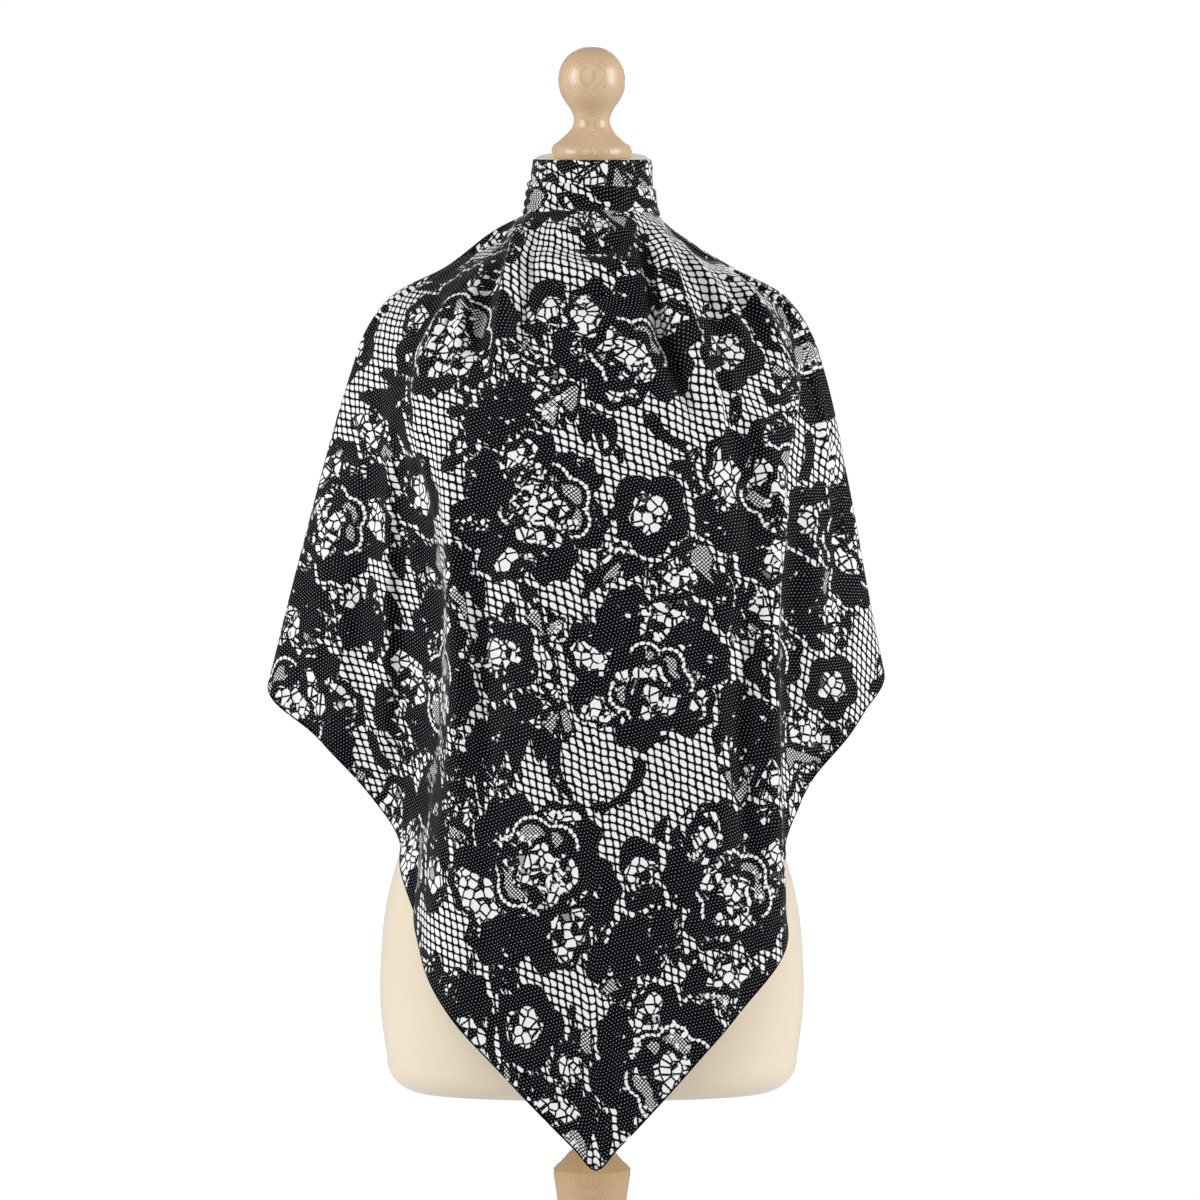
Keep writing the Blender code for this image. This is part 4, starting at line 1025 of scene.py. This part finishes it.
# %% The cape's creases, as seen from the front: path, height, width and lean
CREASES = (
    (((0.0514, 1.364), (0.0587, 1.336), (0.0644, 1.315), (0.0690, 1.294), (0.0855, 1.248),
      (0.0990, 1.205), (0.1060, 1.160)), 0.0175, 0.0070, -0.50),
    (((0.0400, 1.356), (0.0460, 1.330), (0.0520, 1.300), (0.0570, 1.272), (0.0700, 1.236),
      (0.0830, 1.196)), -0.0150, 0.0078),
    (((0.0700, 1.340), (0.0800, 1.310), (0.0920, 1.276), (0.1050, 1.236)), -0.0060, 0.0070),
    (((-0.0560, 1.366), (-0.0610, 1.340), (-0.0660, 1.312), (-0.0730, 1.270), (-0.0800, 1.215)),
     0.0135, 0.0080, 0.45),
    (((-0.0440, 1.354), (-0.0500, 1.326), (-0.0550, 1.290), (-0.0600, 1.245)), -0.0060, 0.0075),
    (((-0.0700, 1.352), (-0.0800, 1.325), (-0.0880, 1.290), (-0.0950, 1.245)), -0.0110, 0.0078),
    (((-0.0360, 1.352), (-0.0040, 1.343), (0.0340, 1.352)), 0.0060, 0.0060, 0.3),
    (((-0.0300, 1.338), (0.0040, 1.330), (0.0360, 1.340)), -0.0045, 0.0055),
    (((-0.0500, 1.326), (-0.0060, 1.310), (0.0420, 1.326)), 0.0080, 0.0080, 0.3),
    (((-0.0460, 1.304), (-0.0040, 1.290), (0.0400, 1.304)), -0.0050, 0.0075),
    (((-0.0500, 1.286), (-0.0060, 1.268), (0.0460, 1.280)), 0.0055, 0.0095, 0.3),
    (((-0.0440, 1.250), (-0.0040, 1.236), (0.0440, 1.246)), 0.0035, 0.0110),
    (((-0.1050, 1.306), (-0.1280, 1.262), (-0.1420, 1.205)), 0.0070, 0.0100),
    (((-0.0840, 1.322), (-0.1020, 1.284), (-0.1140, 1.232)), 0.0055, 0.0070, 0.3),
    (((-0.1220, 1.300), (-0.1460, 1.262), (-0.1580, 1.214)), -0.0060, 0.0080),
    (((0.0780, 1.318), (0.0900, 1.276), (0.1000, 1.236)), 0.0050, 0.0060, -0.3),
    (((0.0680, 1.346), (0.0930, 1.308), (0.1180, 1.276), (0.1360, 1.240)), 0.0085, 0.0056, -0.4),
    (((0.0820, 1.342), (0.1080, 1.312), (0.1320, 1.280), (0.1480, 1.246)), -0.0055, 0.0060),
    (((0.1010, 1.330), (0.1220, 1.306), (0.1430, 1.276), (0.1600, 1.236)), 0.0075, 0.0056, -0.4),
    (((0.1100, 1.306), (0.1240, 1.276), (0.1340, 1.240)), -0.0045, 0.0060),
    (((0.0900, 1.270), (0.1100, 1.232), (0.1220, 1.190)), 0.0045, 0.0070),
    (((-0.0900, 1.110), (-0.0860, 0.980), (-0.0880, 0.860)), -0.0100, 0.0130),
    (((-0.1620, 1.220), (-0.1640, 1.120), (-0.1660, 1.000), (-0.1720, 0.900)),
     0.0085, 0.0090, -0.4),
    (((-0.1340, 1.190), (-0.1320, 1.080), (-0.1330, 0.960), (-0.1420, 0.860)), -0.0100, 0.0130),
    (((0.1260, 1.060), (0.1200, 0.940), (0.1280, 0.810)), -0.0100, 0.0120),
    (((0.1480, 1.150), (0.1450, 1.020), (0.1480, 0.900), (0.1570, 0.800)), 0.0080, 0.0060, -0.4),
    (((0.1680, 1.140), (0.1640, 1.040), (0.1660, 0.950), (0.1700, 0.880)), -0.0070, 0.0080),
    (((0.2020, 1.180), (0.2060, 1.090), (0.2080, 0.990)), -0.0080, 0.0110),
    (((0.1840, 1.150), (0.1880, 1.050), (0.1900, 0.950)), 0.0055, 0.0080),
    (((-0.1820, 1.190), (-0.1900, 1.090), (-0.1970, 0.980)), -0.0075, 0.0130),
    (((-0.2120, 1.150), (-0.2260, 1.050), (-0.2380, 0.975)), 0.0050, 0.0095),
    (((0.1280, 1.215), (0.1420, 1.170), (0.1520, 1.110), (0.1560, 1.060)), 0.0060, 0.0080),
    (((0.1100, 1.190), (0.1240, 1.140), (0.1300, 1.080)), -0.0055, 0.0100),
    (((-0.1180, 1.180), (-0.1120, 1.090), (-0.1060, 0.990), (-0.1100, 0.880)), 0.0065, 0.0080),
    (((-0.0440, 1.190), (-0.0360, 1.060), (-0.0380, 0.900), (-0.0500, 0.780)), 0.0060, 0.0180),
    (((0.0180, 1.230), (0.0120, 1.100), (0.0080, 0.960)), -0.0045, 0.0170),
    (((0.0600, 1.160), (0.0680, 1.040), (0.0640, 0.900)), 0.0060, 0.0160),
    (((0.0400, 0.960), (0.0340, 0.840), (0.0300, 0.740)), -0.0050, 0.0150),
    (((-0.0120, 0.860), (-0.0080, 0.760), (-0.0040, 0.670)), 0.0050, 0.0140),
    (((0.0840, 0.900), (0.0800, 0.820), (0.0820, 0.750)), 0.0045, 0.0105),
    (((-0.0700, 0.860), (-0.0720, 0.780), (-0.0760, 0.710)), 0.0050, 0.0100),
)
print(len(CREASES), "creases")

# %% The cape's surface as rows of points
COLUMN_PARTS = 7
ROWS = 156
ROW_BIAS = 1.28
CLOTH = 0.0013
CLEAR = 0.0007


def rib_stations():
    pair, share = [], []
    for index, count in enumerate(STRIPS):
        for k in range(count * COLUMN_PARTS):
            pair.append(index)
            share.append(k / (count * COLUMN_PARTS))
    pair.append(len(STRIPS) - 1)
    share.append(1.0)
    return np.array(pair), np.array(share)


PAIR, SHARE = rib_stations()
CENTRE_COLUMN = sum(STRIPS[:CENTRE_RIB]) * COLUMN_PARTS


def across_ribs(places):
    """Rows of places on all ribs, filled in between the ribs."""
    chords = np.linalg.norm(np.diff(places, axis=1), axis=2)
    return hermite(places, chords, PAIR, SHARE)


def near_path(points, path):
    """Each point's distance to a path seen from the front, the share along it, and its side."""
    path = np.array(path)
    lengths = np.linalg.norm(np.diff(path, axis=0), axis=1)
    best, share, walked = np.full(points.shape[:-1], 1.0), np.zeros(points.shape[:-1]), 0.0
    side = np.zeros(points.shape[:-1])
    for a, b, length in zip(path, path[1:], lengths):
        run = b - a
        part = np.clip(((points - a) @ run) / (length * length), 0.0, 1.0)
        off = np.linalg.norm(points - a - part[..., None] * run, axis=-1)
        closer = off < best
        best = np.where(closer, off, best)
        share = np.where(closer, (walked + part * length) / lengths.sum(), share)
        turned_by = run[0] * (points - a)[..., 1] - run[1] * (points - a)[..., 0]
        side = np.where(closer, np.clip(turned_by / (length * 0.004), -1.0, 1.0), side)
        walked += length
    return best, share, side


def grid_normals(grid):
    across = np.gradient(grid, axis=1)
    down = np.gradient(grid, axis=0)
    normal = np.cross(down, across)
    return normal / np.maximum(np.linalg.norm(normal, axis=2, keepdims=True), 1e-12)


def crease(grid):
    """Moves the front out and in along its creases, more steeply on one side where told."""
    seen = grid[..., [0, 2]]
    push = np.zeros(grid.shape[:2])
    for path, height, width, *lean in CREASES:
        off, share, side = near_path(seen, path)
        steep = lean[0] if lean else 0.0
        wide = width * (1.0 + steep * side)
        push += height * np.sin(math.pi * share) ** 0.6 * np.exp(-(off / wide) ** 2)
    front = np.clip((0.03 - grid[..., 1]) / 0.02, 0.0, 1.0)
    return grid + grid_normals(grid) * (push * front)[..., None]


def hang(grid):
    """Soft uneven folds that grow towards the hem, on every side."""
    down = np.linspace(0.0, 1.0, grid.shape[0])[:, None]
    steps = np.linalg.norm(np.diff(grid[-1], axis=0), axis=1)
    along = np.concatenate(([0.0], np.cumsum(steps)))[None]
    fold = (np.sin(along * 62.0 + 0.6 * np.sin(along * 9.0)) * 0.0011
            + np.sin(along * 103.0 + 2.0 + 1.5 * down) * 0.0007)
    calm = 1.0 - 0.6 * np.exp(-(((along - along[0, CENTRE_COLUMN]) / 0.16) ** 2))
    return grid + grid_normals(grid) * (fold * calm * down ** 1.3)[..., None]


def push_clear(grid, tree, clearance):
    """Moves points out until they are clear of a solid."""
    flat = grid.reshape(-1, 3)
    moved = np.zeros(len(flat))
    for i, point in enumerate(flat):
        near, normal = tree.find_nearest(Vector(point), 0.03)[:2]
        if near is None:
            continue
        depth = (Vector(point) - near).dot(normal)
        if depth < clearance:
            flat[i] = point + np.array(normal) * (clearance - depth)
            moved[i] = clearance - depth
    most = round(moved.max() * 1000, 2)
    print("points pushed clear", int((moved > 0).sum()), "by at most", most, "mm")
    return flat.reshape(grid.shape)


def soften(grid, times):
    """Evens the cloth between its edges."""
    for _ in range(times):
        inner = (grid[:-2, 1:-1] + grid[2:, 1:-1] + grid[1:-1, :-2] + grid[1:-1, 2:]) / 4
        grid[1:-1, 1:-1] += 0.5 * (inner - grid[1:-1, 1:-1])
    return grid


def cape_grid():
    down = (np.arange(ROWS + 1) / ROWS) ** ROW_BIAS
    places = np.stack([curve_through(rib, down) for rib in RIBS], axis=1)
    grid = soften(crease(across_ribs(places)), 3)
    return push_clear(hang(grid), body_tree, CLOTH + CLEAR)


grid = cape_grid()
print("cape grid", grid.shape)

# %% [markdown]
# The print needs the cape laid flat. Heights on the flat cloth follow the length of each
# fold line from the neck, and widths follow the cloth's width at that length. Many rounds
# of evening the edge lengths then spread what stretch is left, as a pattern cutter does
# when a curved shape is pressed flat.

# %% The cape laid flat
FLAT_TOP = 0.830
EVEN_ROUNDS = 900
KEPT_SPEED = 0.95


def flat_start(grid):
    """A first flat layout, from lengths down the cloth and widths across it."""
    columns = range(grid.shape[1])
    steps = np.linalg.norm(np.diff(grid, axis=0), axis=2)
    walked = np.concatenate((np.zeros((1, len(columns))), np.cumsum(steps, axis=0)))
    levels = np.linspace(0.0, walked[:, CENTRE_COLUMN].max(), 120)
    rings = [np.stack([np.interp(levels, walked[:, c], grid[:, c, k]) for k in range(3)], 1)
             for c in columns]
    widths = np.linalg.norm(np.diff(np.stack(rings, axis=1), axis=1), axis=2)
    across = np.concatenate((np.zeros((len(levels), 1)), np.cumsum(widths, axis=1)), axis=1)
    across -= across[:, CENTRE_COLUMN][:, None]
    u = np.stack([np.interp(walked[:, c], levels, across[:, c]) for c in columns], axis=1)
    return np.stack([u, FLAT_TOP - walked], axis=2)


def even_out(grid, flat):
    """Moves flat points until their edges have nearly the length they have on the cape.

    Each point keeps most of its speed from one round to the next, so that a pull
    reaches the far side of the cloth in fewer rounds.
    """
    links = []
    for down, across in ((1, 0), (0, 1), (1, 1), (1, -1)):
        a = np.s_[:grid.shape[0] - down, max(0, -across):grid.shape[1] - max(0, across)]
        b = np.s_[down:, max(0, across):grid.shape[1] - max(0, -across)]
        links.append((a, b, np.linalg.norm(grid[b] - grid[a], axis=2)))
    speed = np.zeros_like(flat)
    for _ in range(EVEN_ROUNDS):
        move = np.zeros_like(flat)
        count = np.zeros(flat.shape[:2])
        for a, b, rest in links:
            run = flat[b] - flat[a]
            length = np.maximum(np.linalg.norm(run, axis=2), 1e-9)
            fix = run * (0.5 * (length - rest) / length)[..., None]
            move[a] += fix
            move[b] -= fix
            count[a] += 1
            count[b] += 1
        speed = KEPT_SPEED * speed + move / count[..., None]
        flat = flat + speed
    return flat - [flat[:, CENTRE_COLUMN // COLUMN_PARTS, 0].mean(), 0.0]


def filled(values, places, count):
    """The values of some numbered rows, filled in for every row up to the count."""
    wanted = np.arange(count)
    return np.stack([np.stack([np.interp(wanted, places, values[:, c, k]) for k in range(2)], 1)
                     for c in range(values.shape[1])], axis=1)


def lay_flat(grid):
    """Evens out a coarse copy of the grid, then fills in the rest."""
    rows = np.unique(np.r_[0:grid.shape[0]:6, grid.shape[0] - 1])
    columns = np.unique(np.r_[0:grid.shape[1]:COLUMN_PARTS, grid.shape[1] - 1])
    coarse_grid = grid[np.ix_(rows, columns)]
    coarse = even_out(coarse_grid, flat_start(grid)[np.ix_(rows, columns)])
    wide = filled(coarse.swapaxes(0, 1), columns, grid.shape[1]).swapaxes(0, 1)
    return filled(wide, rows, grid.shape[0])


def stretch(grid, flat, axis):
    """How much longer each edge is on the cape than on the flat cloth."""
    worn = np.linalg.norm(np.diff(grid, axis=axis), axis=2)
    cut = np.linalg.norm(np.diff(flat, axis=axis), axis=2)
    return worn.sum(axis=axis) / cut.sum(axis=axis)


cape_flat = lay_flat(grid)
for label, axis in (("down", 0), ("across", 1)):
    found = np.percentile(stretch(grid, cape_flat, axis), (5, 50, 95))
    print("stretch", label, found.round(2))

# %% [markdown]
# Silk folded in two is a thin closed shell. The outer face keeps every point, and the
# inner face, a little over a millimetre inside it, keeps every third row and every second
# column. Strips of faces close the shell along the neck, the hem and the two ends.

# %% The cape as a thin shell


def shell(name, outer, outer_flat, thickness, row_step, column_step):
    rows, columns = outer.shape[:2]
    inner_rows = list(range(0, rows - 1, row_step)) + [rows - 1]
    inner_columns = list(range(0, columns - 1, column_step)) + [columns - 1]
    inner = (outer - grid_normals(outer) * thickness)[np.ix_(inner_rows, inner_columns)]
    inner_flat = outer_flat[np.ix_(inner_rows, inner_columns)] * [-1.0, 1.0] + [0.035, 0.011]
    number = np.arange(rows * columns).reshape(rows, columns)
    other = rows * columns + np.arange(inner.shape[0] * inner.shape[1]).reshape(inner.shape[:2])
    faces = []
    for r in range(rows - 1):
        for c in range(columns - 1):
            faces.append((number[r, c], number[r + 1, c], number[r + 1, c + 1], number[r, c + 1]))
    for r in range(len(inner_rows) - 1):
        for c in range(len(inner_columns) - 1):
            faces.append((other[r, c], other[r, c + 1], other[r + 1, c + 1], other[r + 1, c]))
    for r, outer_row in ((0, 0), (len(inner_rows) - 1, rows - 1)):
        for k, (a, b) in enumerate(zip(inner_columns, inner_columns[1:])):
            edge = [number[outer_row, c] for c in range(a, b + 1)]
            strip = edge + [other[r, k + 1], other[r, k]]
            faces.append(tuple(strip if r == 0 else reversed(strip)))
    for c, outer_column in ((0, 0), (len(inner_columns) - 1, columns - 1)):
        for k, (a, b) in enumerate(zip(inner_rows, inner_rows[1:])):
            edge = [number[r, outer_column] for r in range(a, b + 1)]
            strip = edge + [other[k + 1, c], other[k, c]]
            faces.append(tuple(reversed(strip) if c == 0 else strip))
    points = np.concatenate((outer.reshape(-1, 3), inner.reshape(-1, 3)))
    flat = np.concatenate((outer_flat.reshape(-1, 2), inner_flat.reshape(-1, 2)))
    faces = [tuple(int(i) for i in face) for face in faces]
    piece = link(name, mesh_of(name, points, faces), PRINTED_SILK)
    return print_on(piece, flat)


cape = shell("scarf_cape", grid, cape_flat, CLOTH, 3, 2)
print("cape faces", len(cape.data.polygons))

# %% [markdown]
# The folded edge goes twice round the neck. The upper turn is flat, with a crisp top. The
# lower one is pulled into a few soft pleats that slant down to the right. Both are closed
# bands, drawn as a section that changes as it goes round.

# %% The two turns round the neck
NECK_BAND_SLANT = math.radians(7.0)
NECK_RADIUS = 0.0525
BAND_SHOWN = 0.0245
RING_STEPS = 260
RING_ROWS = 26
BAND = ((1.3885, 1.4150), ((0.0477, 0.0468, 0.0482), (0.0472, 0.0468, 0.0472)))
ROLL = ((1.3680, 1.3950), ((0.0530, 0.0515, 0.0550), (0.0482, 0.0474, 0.0486)))
ROLL_FALL = 0.0036


def ring_place(turn, share, heights, inner, out, fall):
    low, high = heights
    level = 0.0 if fall else 1.0
    high = high - fall * np.cos(turn)
    half, front, back = [a + (b - a) * share for a, b in zip(*inner)]
    c, s = np.cos(turn), np.sin(turn)
    depth = np.where(s > 0, back, front)
    x, y = (half + out) * c, (depth + out) * s
    slant = math.tan(NECK_BAND_SLANT) * (0.35 + 0.65 * min(1.0, share * 3.0 + level))
    return np.stack([x, y, low + (high - low) * share + y * slant], axis=-1)


def band_swell(turn, share):
    """The upper turn: flat, with a crisp top edge and a faint overlap behind."""
    body_of_band = 0.0011 + 0.0019 * np.sin(math.pi * np.clip(share, 0, 1)) ** 0.35
    drag = 0.00035 * np.sin(3 * turn + 1.5 * share * 2 * math.pi)
    return body_of_band + drag


def roll_swell(turn, share):
    """The lower turn: soft slanting pleats that run out flat at its top."""
    top = np.clip((1.0 - share) / 0.12, 0.0, 1.0) ** 0.6
    foot = np.clip(share / 0.10, 0.0, 1.0) ** 0.6
    slide = share * 2.1 + 0.75 * np.cos(turn + 0.35) * (1.1 - share) * 2.4 + 0.12 * np.sin(2 * turn)
    pleat = np.abs(np.sin(math.pi * slide)) ** 0.7
    return 0.0016 + top * (0.0012 + 0.0026 * pleat * (0.35 + 0.65 * foot))


def neck_ring(name, size, swell, fall, place_on_cloth):
    heights, inner = size
    turn = np.arange(RING_STEPS) * 2 * math.pi / RING_STEPS
    outer_share = np.linspace(0.0, 1.0, RING_ROWS)
    rows, flat = [], []
    around = turn * NECK_RADIUS
    for share in outer_share:
        rows.append(ring_place(turn, share, heights, inner, swell(turn, share), fall))
        flat.append(np.stack([around, np.full_like(turn, share * BAND_SHOWN)], axis=1))
    for share in (1.0, 0.66, 0.33, 0.0):
        rows.append(ring_place(turn, share, heights, inner, np.zeros_like(turn), fall))
        flat.append(np.stack([around, np.full_like(turn, BAND_SHOWN + (1 - share) * 0.02)], axis=1))
    count = len(rows)
    faces = []
    for k in range(count):
        following = (k + 1) % count
        for i in range(RING_STEPS):
            j = (i + 1) % RING_STEPS
            faces.append((k * RING_STEPS + i, k * RING_STEPS + j, following * RING_STEPS + j,
                          following * RING_STEPS + i))
    mesh = mesh_of(name, np.concatenate(rows), faces)
    ring = link(name, mesh, PRINTED_SILK)
    ring.data.set_sharp_from_angle(angle=math.radians(70))
    return print_on(ring, np.concatenate(flat) + place_on_cloth)


neck_band = neck_ring("scarf_neck_fold", BAND, band_swell, 0.0, (0.31, 0.86))
neck_roll = neck_ring("scarf_neck_pleats", ROLL, roll_swell, ROLL_FALL, (-0.35, 0.47))
print("neck bands", len(neck_band.data.polygons), len(neck_roll.data.polygons))

# %% [markdown]
# Behind, the two ends cross in a small flat knot and hang as two tails. The knot is a
# rounded lump with the grooves where the ends cross. A tail is a narrow sheet that fans
# out below the knot and closes again to the scarf's corner, with folds along it. Each row
# of a tail's table gives the drop below the knot, the place across, the width and the depth.

# %% Knot and tails
TAIL_TOP = 1.3560
TAIL_TUCK = 0.0040
TAIL_LEFT = ((0.000, -0.0095, 0.014, 0.0790), (0.030, -0.0180, 0.030, 0.0930),
             (0.075, -0.0310, 0.054, 0.1060), (0.130, -0.0400, 0.070, 0.1110),
             (0.185, -0.0450, 0.060, 0.1130), (0.235, -0.0520, 0.030, 0.1140),
             (0.268, -0.0580, 0.004, 0.1150))
TAIL_RIGHT = ((0.000, 0.0095, 0.014, 0.0800), (0.030, 0.0190, 0.032, 0.0950),
              (0.070, 0.0320, 0.056, 0.1080), (0.115, 0.0380, 0.066, 0.1120),
              (0.160, 0.0440, 0.054, 0.1140), (0.205, 0.0510, 0.026, 0.1150),
              (0.232, 0.0560, 0.004, 0.1160))
TAIL_ROWS, TAIL_COLUMNS = 130, 40
KNOT_SIZE = (0.0255, 0.0182, 0.0192)


def make_knot():
    low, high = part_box("scarf_knot")
    centre = (low + high) / 2 - Vector((0.0, 0.0022, 0.0))
    shape = bmesh.new()
    bmesh.ops.create_uvsphere(shape, u_segments=96, v_segments=56, radius=1.0)
    flat = []
    for vert in shape.verts:
        x, y, z = vert.co
        groove = 0.10 * math.cos(3.0 * (x + z) + 0.6) + 0.06 * math.cos(5.0 * (x - z))
        crinkle = 0.020 * math.cos(15.0 * (x + 0.6 * z)) * (1.0 - z * z)
        swell = 0.92 + groove * (1.0 - 0.3 * abs(z)) + crinkle
        flat.append((0.02 - 0.036 * math.atan2(x, y), 0.565 + 0.032 * z))
        vert.co = Vector((x * KNOT_SIZE[0], y * KNOT_SIZE[1], z * KNOT_SIZE[2])) * swell + centre
    mesh = bpy.data.meshes.new("scarf_tied_knot")
    shape.to_mesh(mesh)
    shape.free()
    mesh.shade_smooth()
    return print_on(link("scarf_tied_knot", mesh, PRINTED_SILK), np.array(flat))


def tail_width(table, drop):
    drops = [row[0] for row in table]
    return np.interp(drop, drops, [row[2] for row in table])


def make_tail(name, node, table, phase, on_cloth):
    path = [(x, y, TAIL_TOP - drop) for drop, x, width, y in table]
    share = np.linspace(0.0, 1.0, TAIL_ROWS + 1)
    middle = curve_through(path, share)
    width = tail_width(table, TAIL_TOP - middle[:, 2])
    fold = 0.005 * np.sin(math.pi * np.minimum(1.0, share * 1.2 + 0.15))
    side = np.linspace(0.5, -0.5, TAIL_COLUMNS + 1)
    wave = np.sin(2.6 * math.pi * side[None] + phase) * fold[:, None]
    wave = wave + 0.0009 * np.sin(9.0 * math.pi * side[None] + 2.0 * share[:, None])
    spot = middle[:, None] + np.stack([side[None] * width[:, None], wave,
                                       0.35 * np.abs(side)[None] * width[:, None]], axis=2)
    spot = push_clear(spot, body_tree, CLOTH + CLEAR)
    node_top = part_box(node)[1].z
    spot[..., 2] += node_top + TAIL_TUCK - spot[..., 2].max()
    flat = np.stack([side[None] * width[:, None] * 1.25, spot[..., 2] - TAIL_TOP], axis=2)
    return shell(name, spot, flat + on_cloth, CLOTH, 2, 1)


knot = make_knot()
tail_left = make_tail("scarf_end_left", "scarf_tail_left", TAIL_LEFT, 0.4, (-0.66, 0.95))
tail_right = make_tail("scarf_end_right", "scarf_tail_right", TAIL_RIGHT, 2.1, (0.58, 0.91))
print("knot and tails", len(knot.data.polygons), len(tail_left.data.polygons))

# %% [markdown]
# A silk square has a rolled hem: the edge is rolled to a thin cord and caught by tiny
# stitches. Both follow one line, so Geometry Nodes make them. The tree gets the hem's line
# as edges, sweeps a small round section along it, and sets a stitch at even steps.

# %% The rolled hem by Geometry Nodes
HEM_RADIUS = 0.00085
STITCH_STEP = 0.0062


def hem_tree():
    tree = bpy.data.node_groups.new("rolled_hem", "GeometryNodeTree")
    face = tree.interface
    face.new_socket("Line", in_out="INPUT", socket_type="NodeSocketGeometry")
    for label, value in (("Roll radius", HEM_RADIUS), ("Stitch step", STITCH_STEP)):
        face.new_socket(label, in_out="INPUT", socket_type="NodeSocketFloat").default_value = value
    for label in ("Roll", "Thread"):
        face.new_socket(label, in_out="INPUT", socket_type="NodeSocketMaterial")
    face.new_socket("Hem", in_out="OUTPUT", socket_type="NodeSocketGeometry")
    new, join = tree.nodes.new, tree.links.new
    inlet, outlet = new("NodeGroupInput"), new("NodeGroupOutput")
    line = new("GeometryNodeMeshToCurve")
    join(inlet.outputs["Line"], line.inputs["Mesh"])
    even = new("GeometryNodeResampleCurve")
    even.mode = "LENGTH"
    even.inputs["Length"].default_value = 0.004
    join(line.outputs[0], even.inputs["Curve"])
    section = new("GeometryNodeCurvePrimitiveCircle")
    section.inputs["Resolution"].default_value = 10
    join(inlet.outputs["Roll radius"], section.inputs["Radius"])
    sweep = new("GeometryNodeCurveToMesh")
    sweep.inputs["Fill Caps"].default_value = True
    join(even.outputs[0], sweep.inputs["Curve"])
    join(section.outputs[0], sweep.inputs["Profile Curve"])
    roll = new("GeometryNodeSetMaterial")
    join(sweep.outputs[0], roll.inputs["Geometry"])
    join(inlet.outputs["Roll"], roll.inputs["Material"])
    spots = new("GeometryNodeCurveToPoints")
    spots.mode = "LENGTH"
    join(line.outputs[0], spots.inputs["Curve"])
    join(inlet.outputs["Stitch step"], spots.inputs["Length"])
    stitch = new("GeometryNodeMeshUVSphere")
    stitch.inputs["Segments"].default_value = 6
    stitch.inputs["Rings"].default_value = 4
    stitch.inputs["Radius"].default_value = 0.0005
    place = new("GeometryNodeInstanceOnPoints")
    place.inputs["Scale"].default_value = (2.7, 1.2, 2.0)
    join(spots.outputs["Points"], place.inputs["Points"])
    join(spots.outputs["Rotation"], place.inputs["Rotation"])
    join(stitch.outputs["Mesh"], place.inputs["Instance"])
    real = new("GeometryNodeRealizeInstances")
    join(place.outputs[0], real.inputs[0])
    thread = new("GeometryNodeSetMaterial")
    join(real.outputs[0], thread.inputs["Geometry"])
    join(inlet.outputs["Thread"], thread.inputs["Material"])
    both = new("GeometryNodeJoinGeometry")
    join(roll.outputs[0], both.inputs[0])
    join(thread.outputs[0], both.inputs[0])
    join(both.outputs[0], outlet.inputs[0])
    return tree


HEM_TREE = hem_tree()


def make_hem(name, line):
    """Rolls a hem along a line of points and keeps it as a plain mesh."""
    mesh = bpy.data.meshes.new(name)
    mesh.from_pydata([tuple(p) for p in line], [(i, i + 1) for i in range(len(line) - 1)], [])
    maker = bpy.data.objects.new(name + "_line", mesh)
    bpy.context.scene.collection.objects.link(maker)
    nodes = maker.modifiers.new("hem", "NODES")
    nodes.node_group = HEM_TREE
    names = {item.name: item.identifier for item in HEM_TREE.interface.items_tree}
    nodes[names["Roll radius"]] = HEM_RADIUS
    nodes[names["Stitch step"]] = STITCH_STEP
    nodes[names["Roll"]] = HEM_SILK
    nodes[names["Thread"]] = HEM_SILK
    graph = bpy.context.evaluated_depsgraph_get()
    made = bpy.data.meshes.new_from_object(maker.evaluated_get(graph))
    bpy.data.objects.remove(maker)
    made.shade_smooth()
    hem = bpy.data.objects.new(name, made)
    bpy.context.scene.collection.objects.link(hem)
    return hem


inward = grid_normals(grid)[-1] * (CLOTH * 0.5)
cape_hem = make_hem("scarf_rolled_hem", grid[-1] - inward)
print("hem faces", len(cape_hem.data.polygons))

# %% [markdown]
# Last, each piece is tied to the frame: it rides on the model's only body, and it replaces
# the plain solid that it stands for.

# %% Tie the pieces to the frame
PIECES = (
    (cape, ("scarf_front_fall", "scarf_left_wing", "scarf_right_wing"), "scarf_silk"),
    (cape_hem, (), "scarf_silk"),
    (neck_band, ("scarf_neck_band",), "scarf_silk"),
    (neck_roll, ("scarf_neck_roll",), "scarf_silk"),
    (knot, ("scarf_knot",), "scarf_silk"),
    (tail_left, ("scarf_tail_left",), "scarf_silk"),
    (tail_right, ("scarf_tail_right",), "scarf_silk"),
    (body, ("form_body",), "cream_jersey"),
    (knob, ("form_knob",), "varnished_beech"),
    (column, ("stand_column",), "varnished_beech"),
    (base, ("stand_base",), "varnished_beech"),
    (pole, ("stand_pole",), "steel_pole"),
    (socket, ("stand_socket",), "steel_pole"),
)
for piece, nodes, finish in PIECES:
    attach(piece, "root")
    if nodes:
        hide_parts(*nodes)

for tail, length in ((tail_left, 0.275), (tail_right, 0.240)):
    0.58 * 0.075 * length
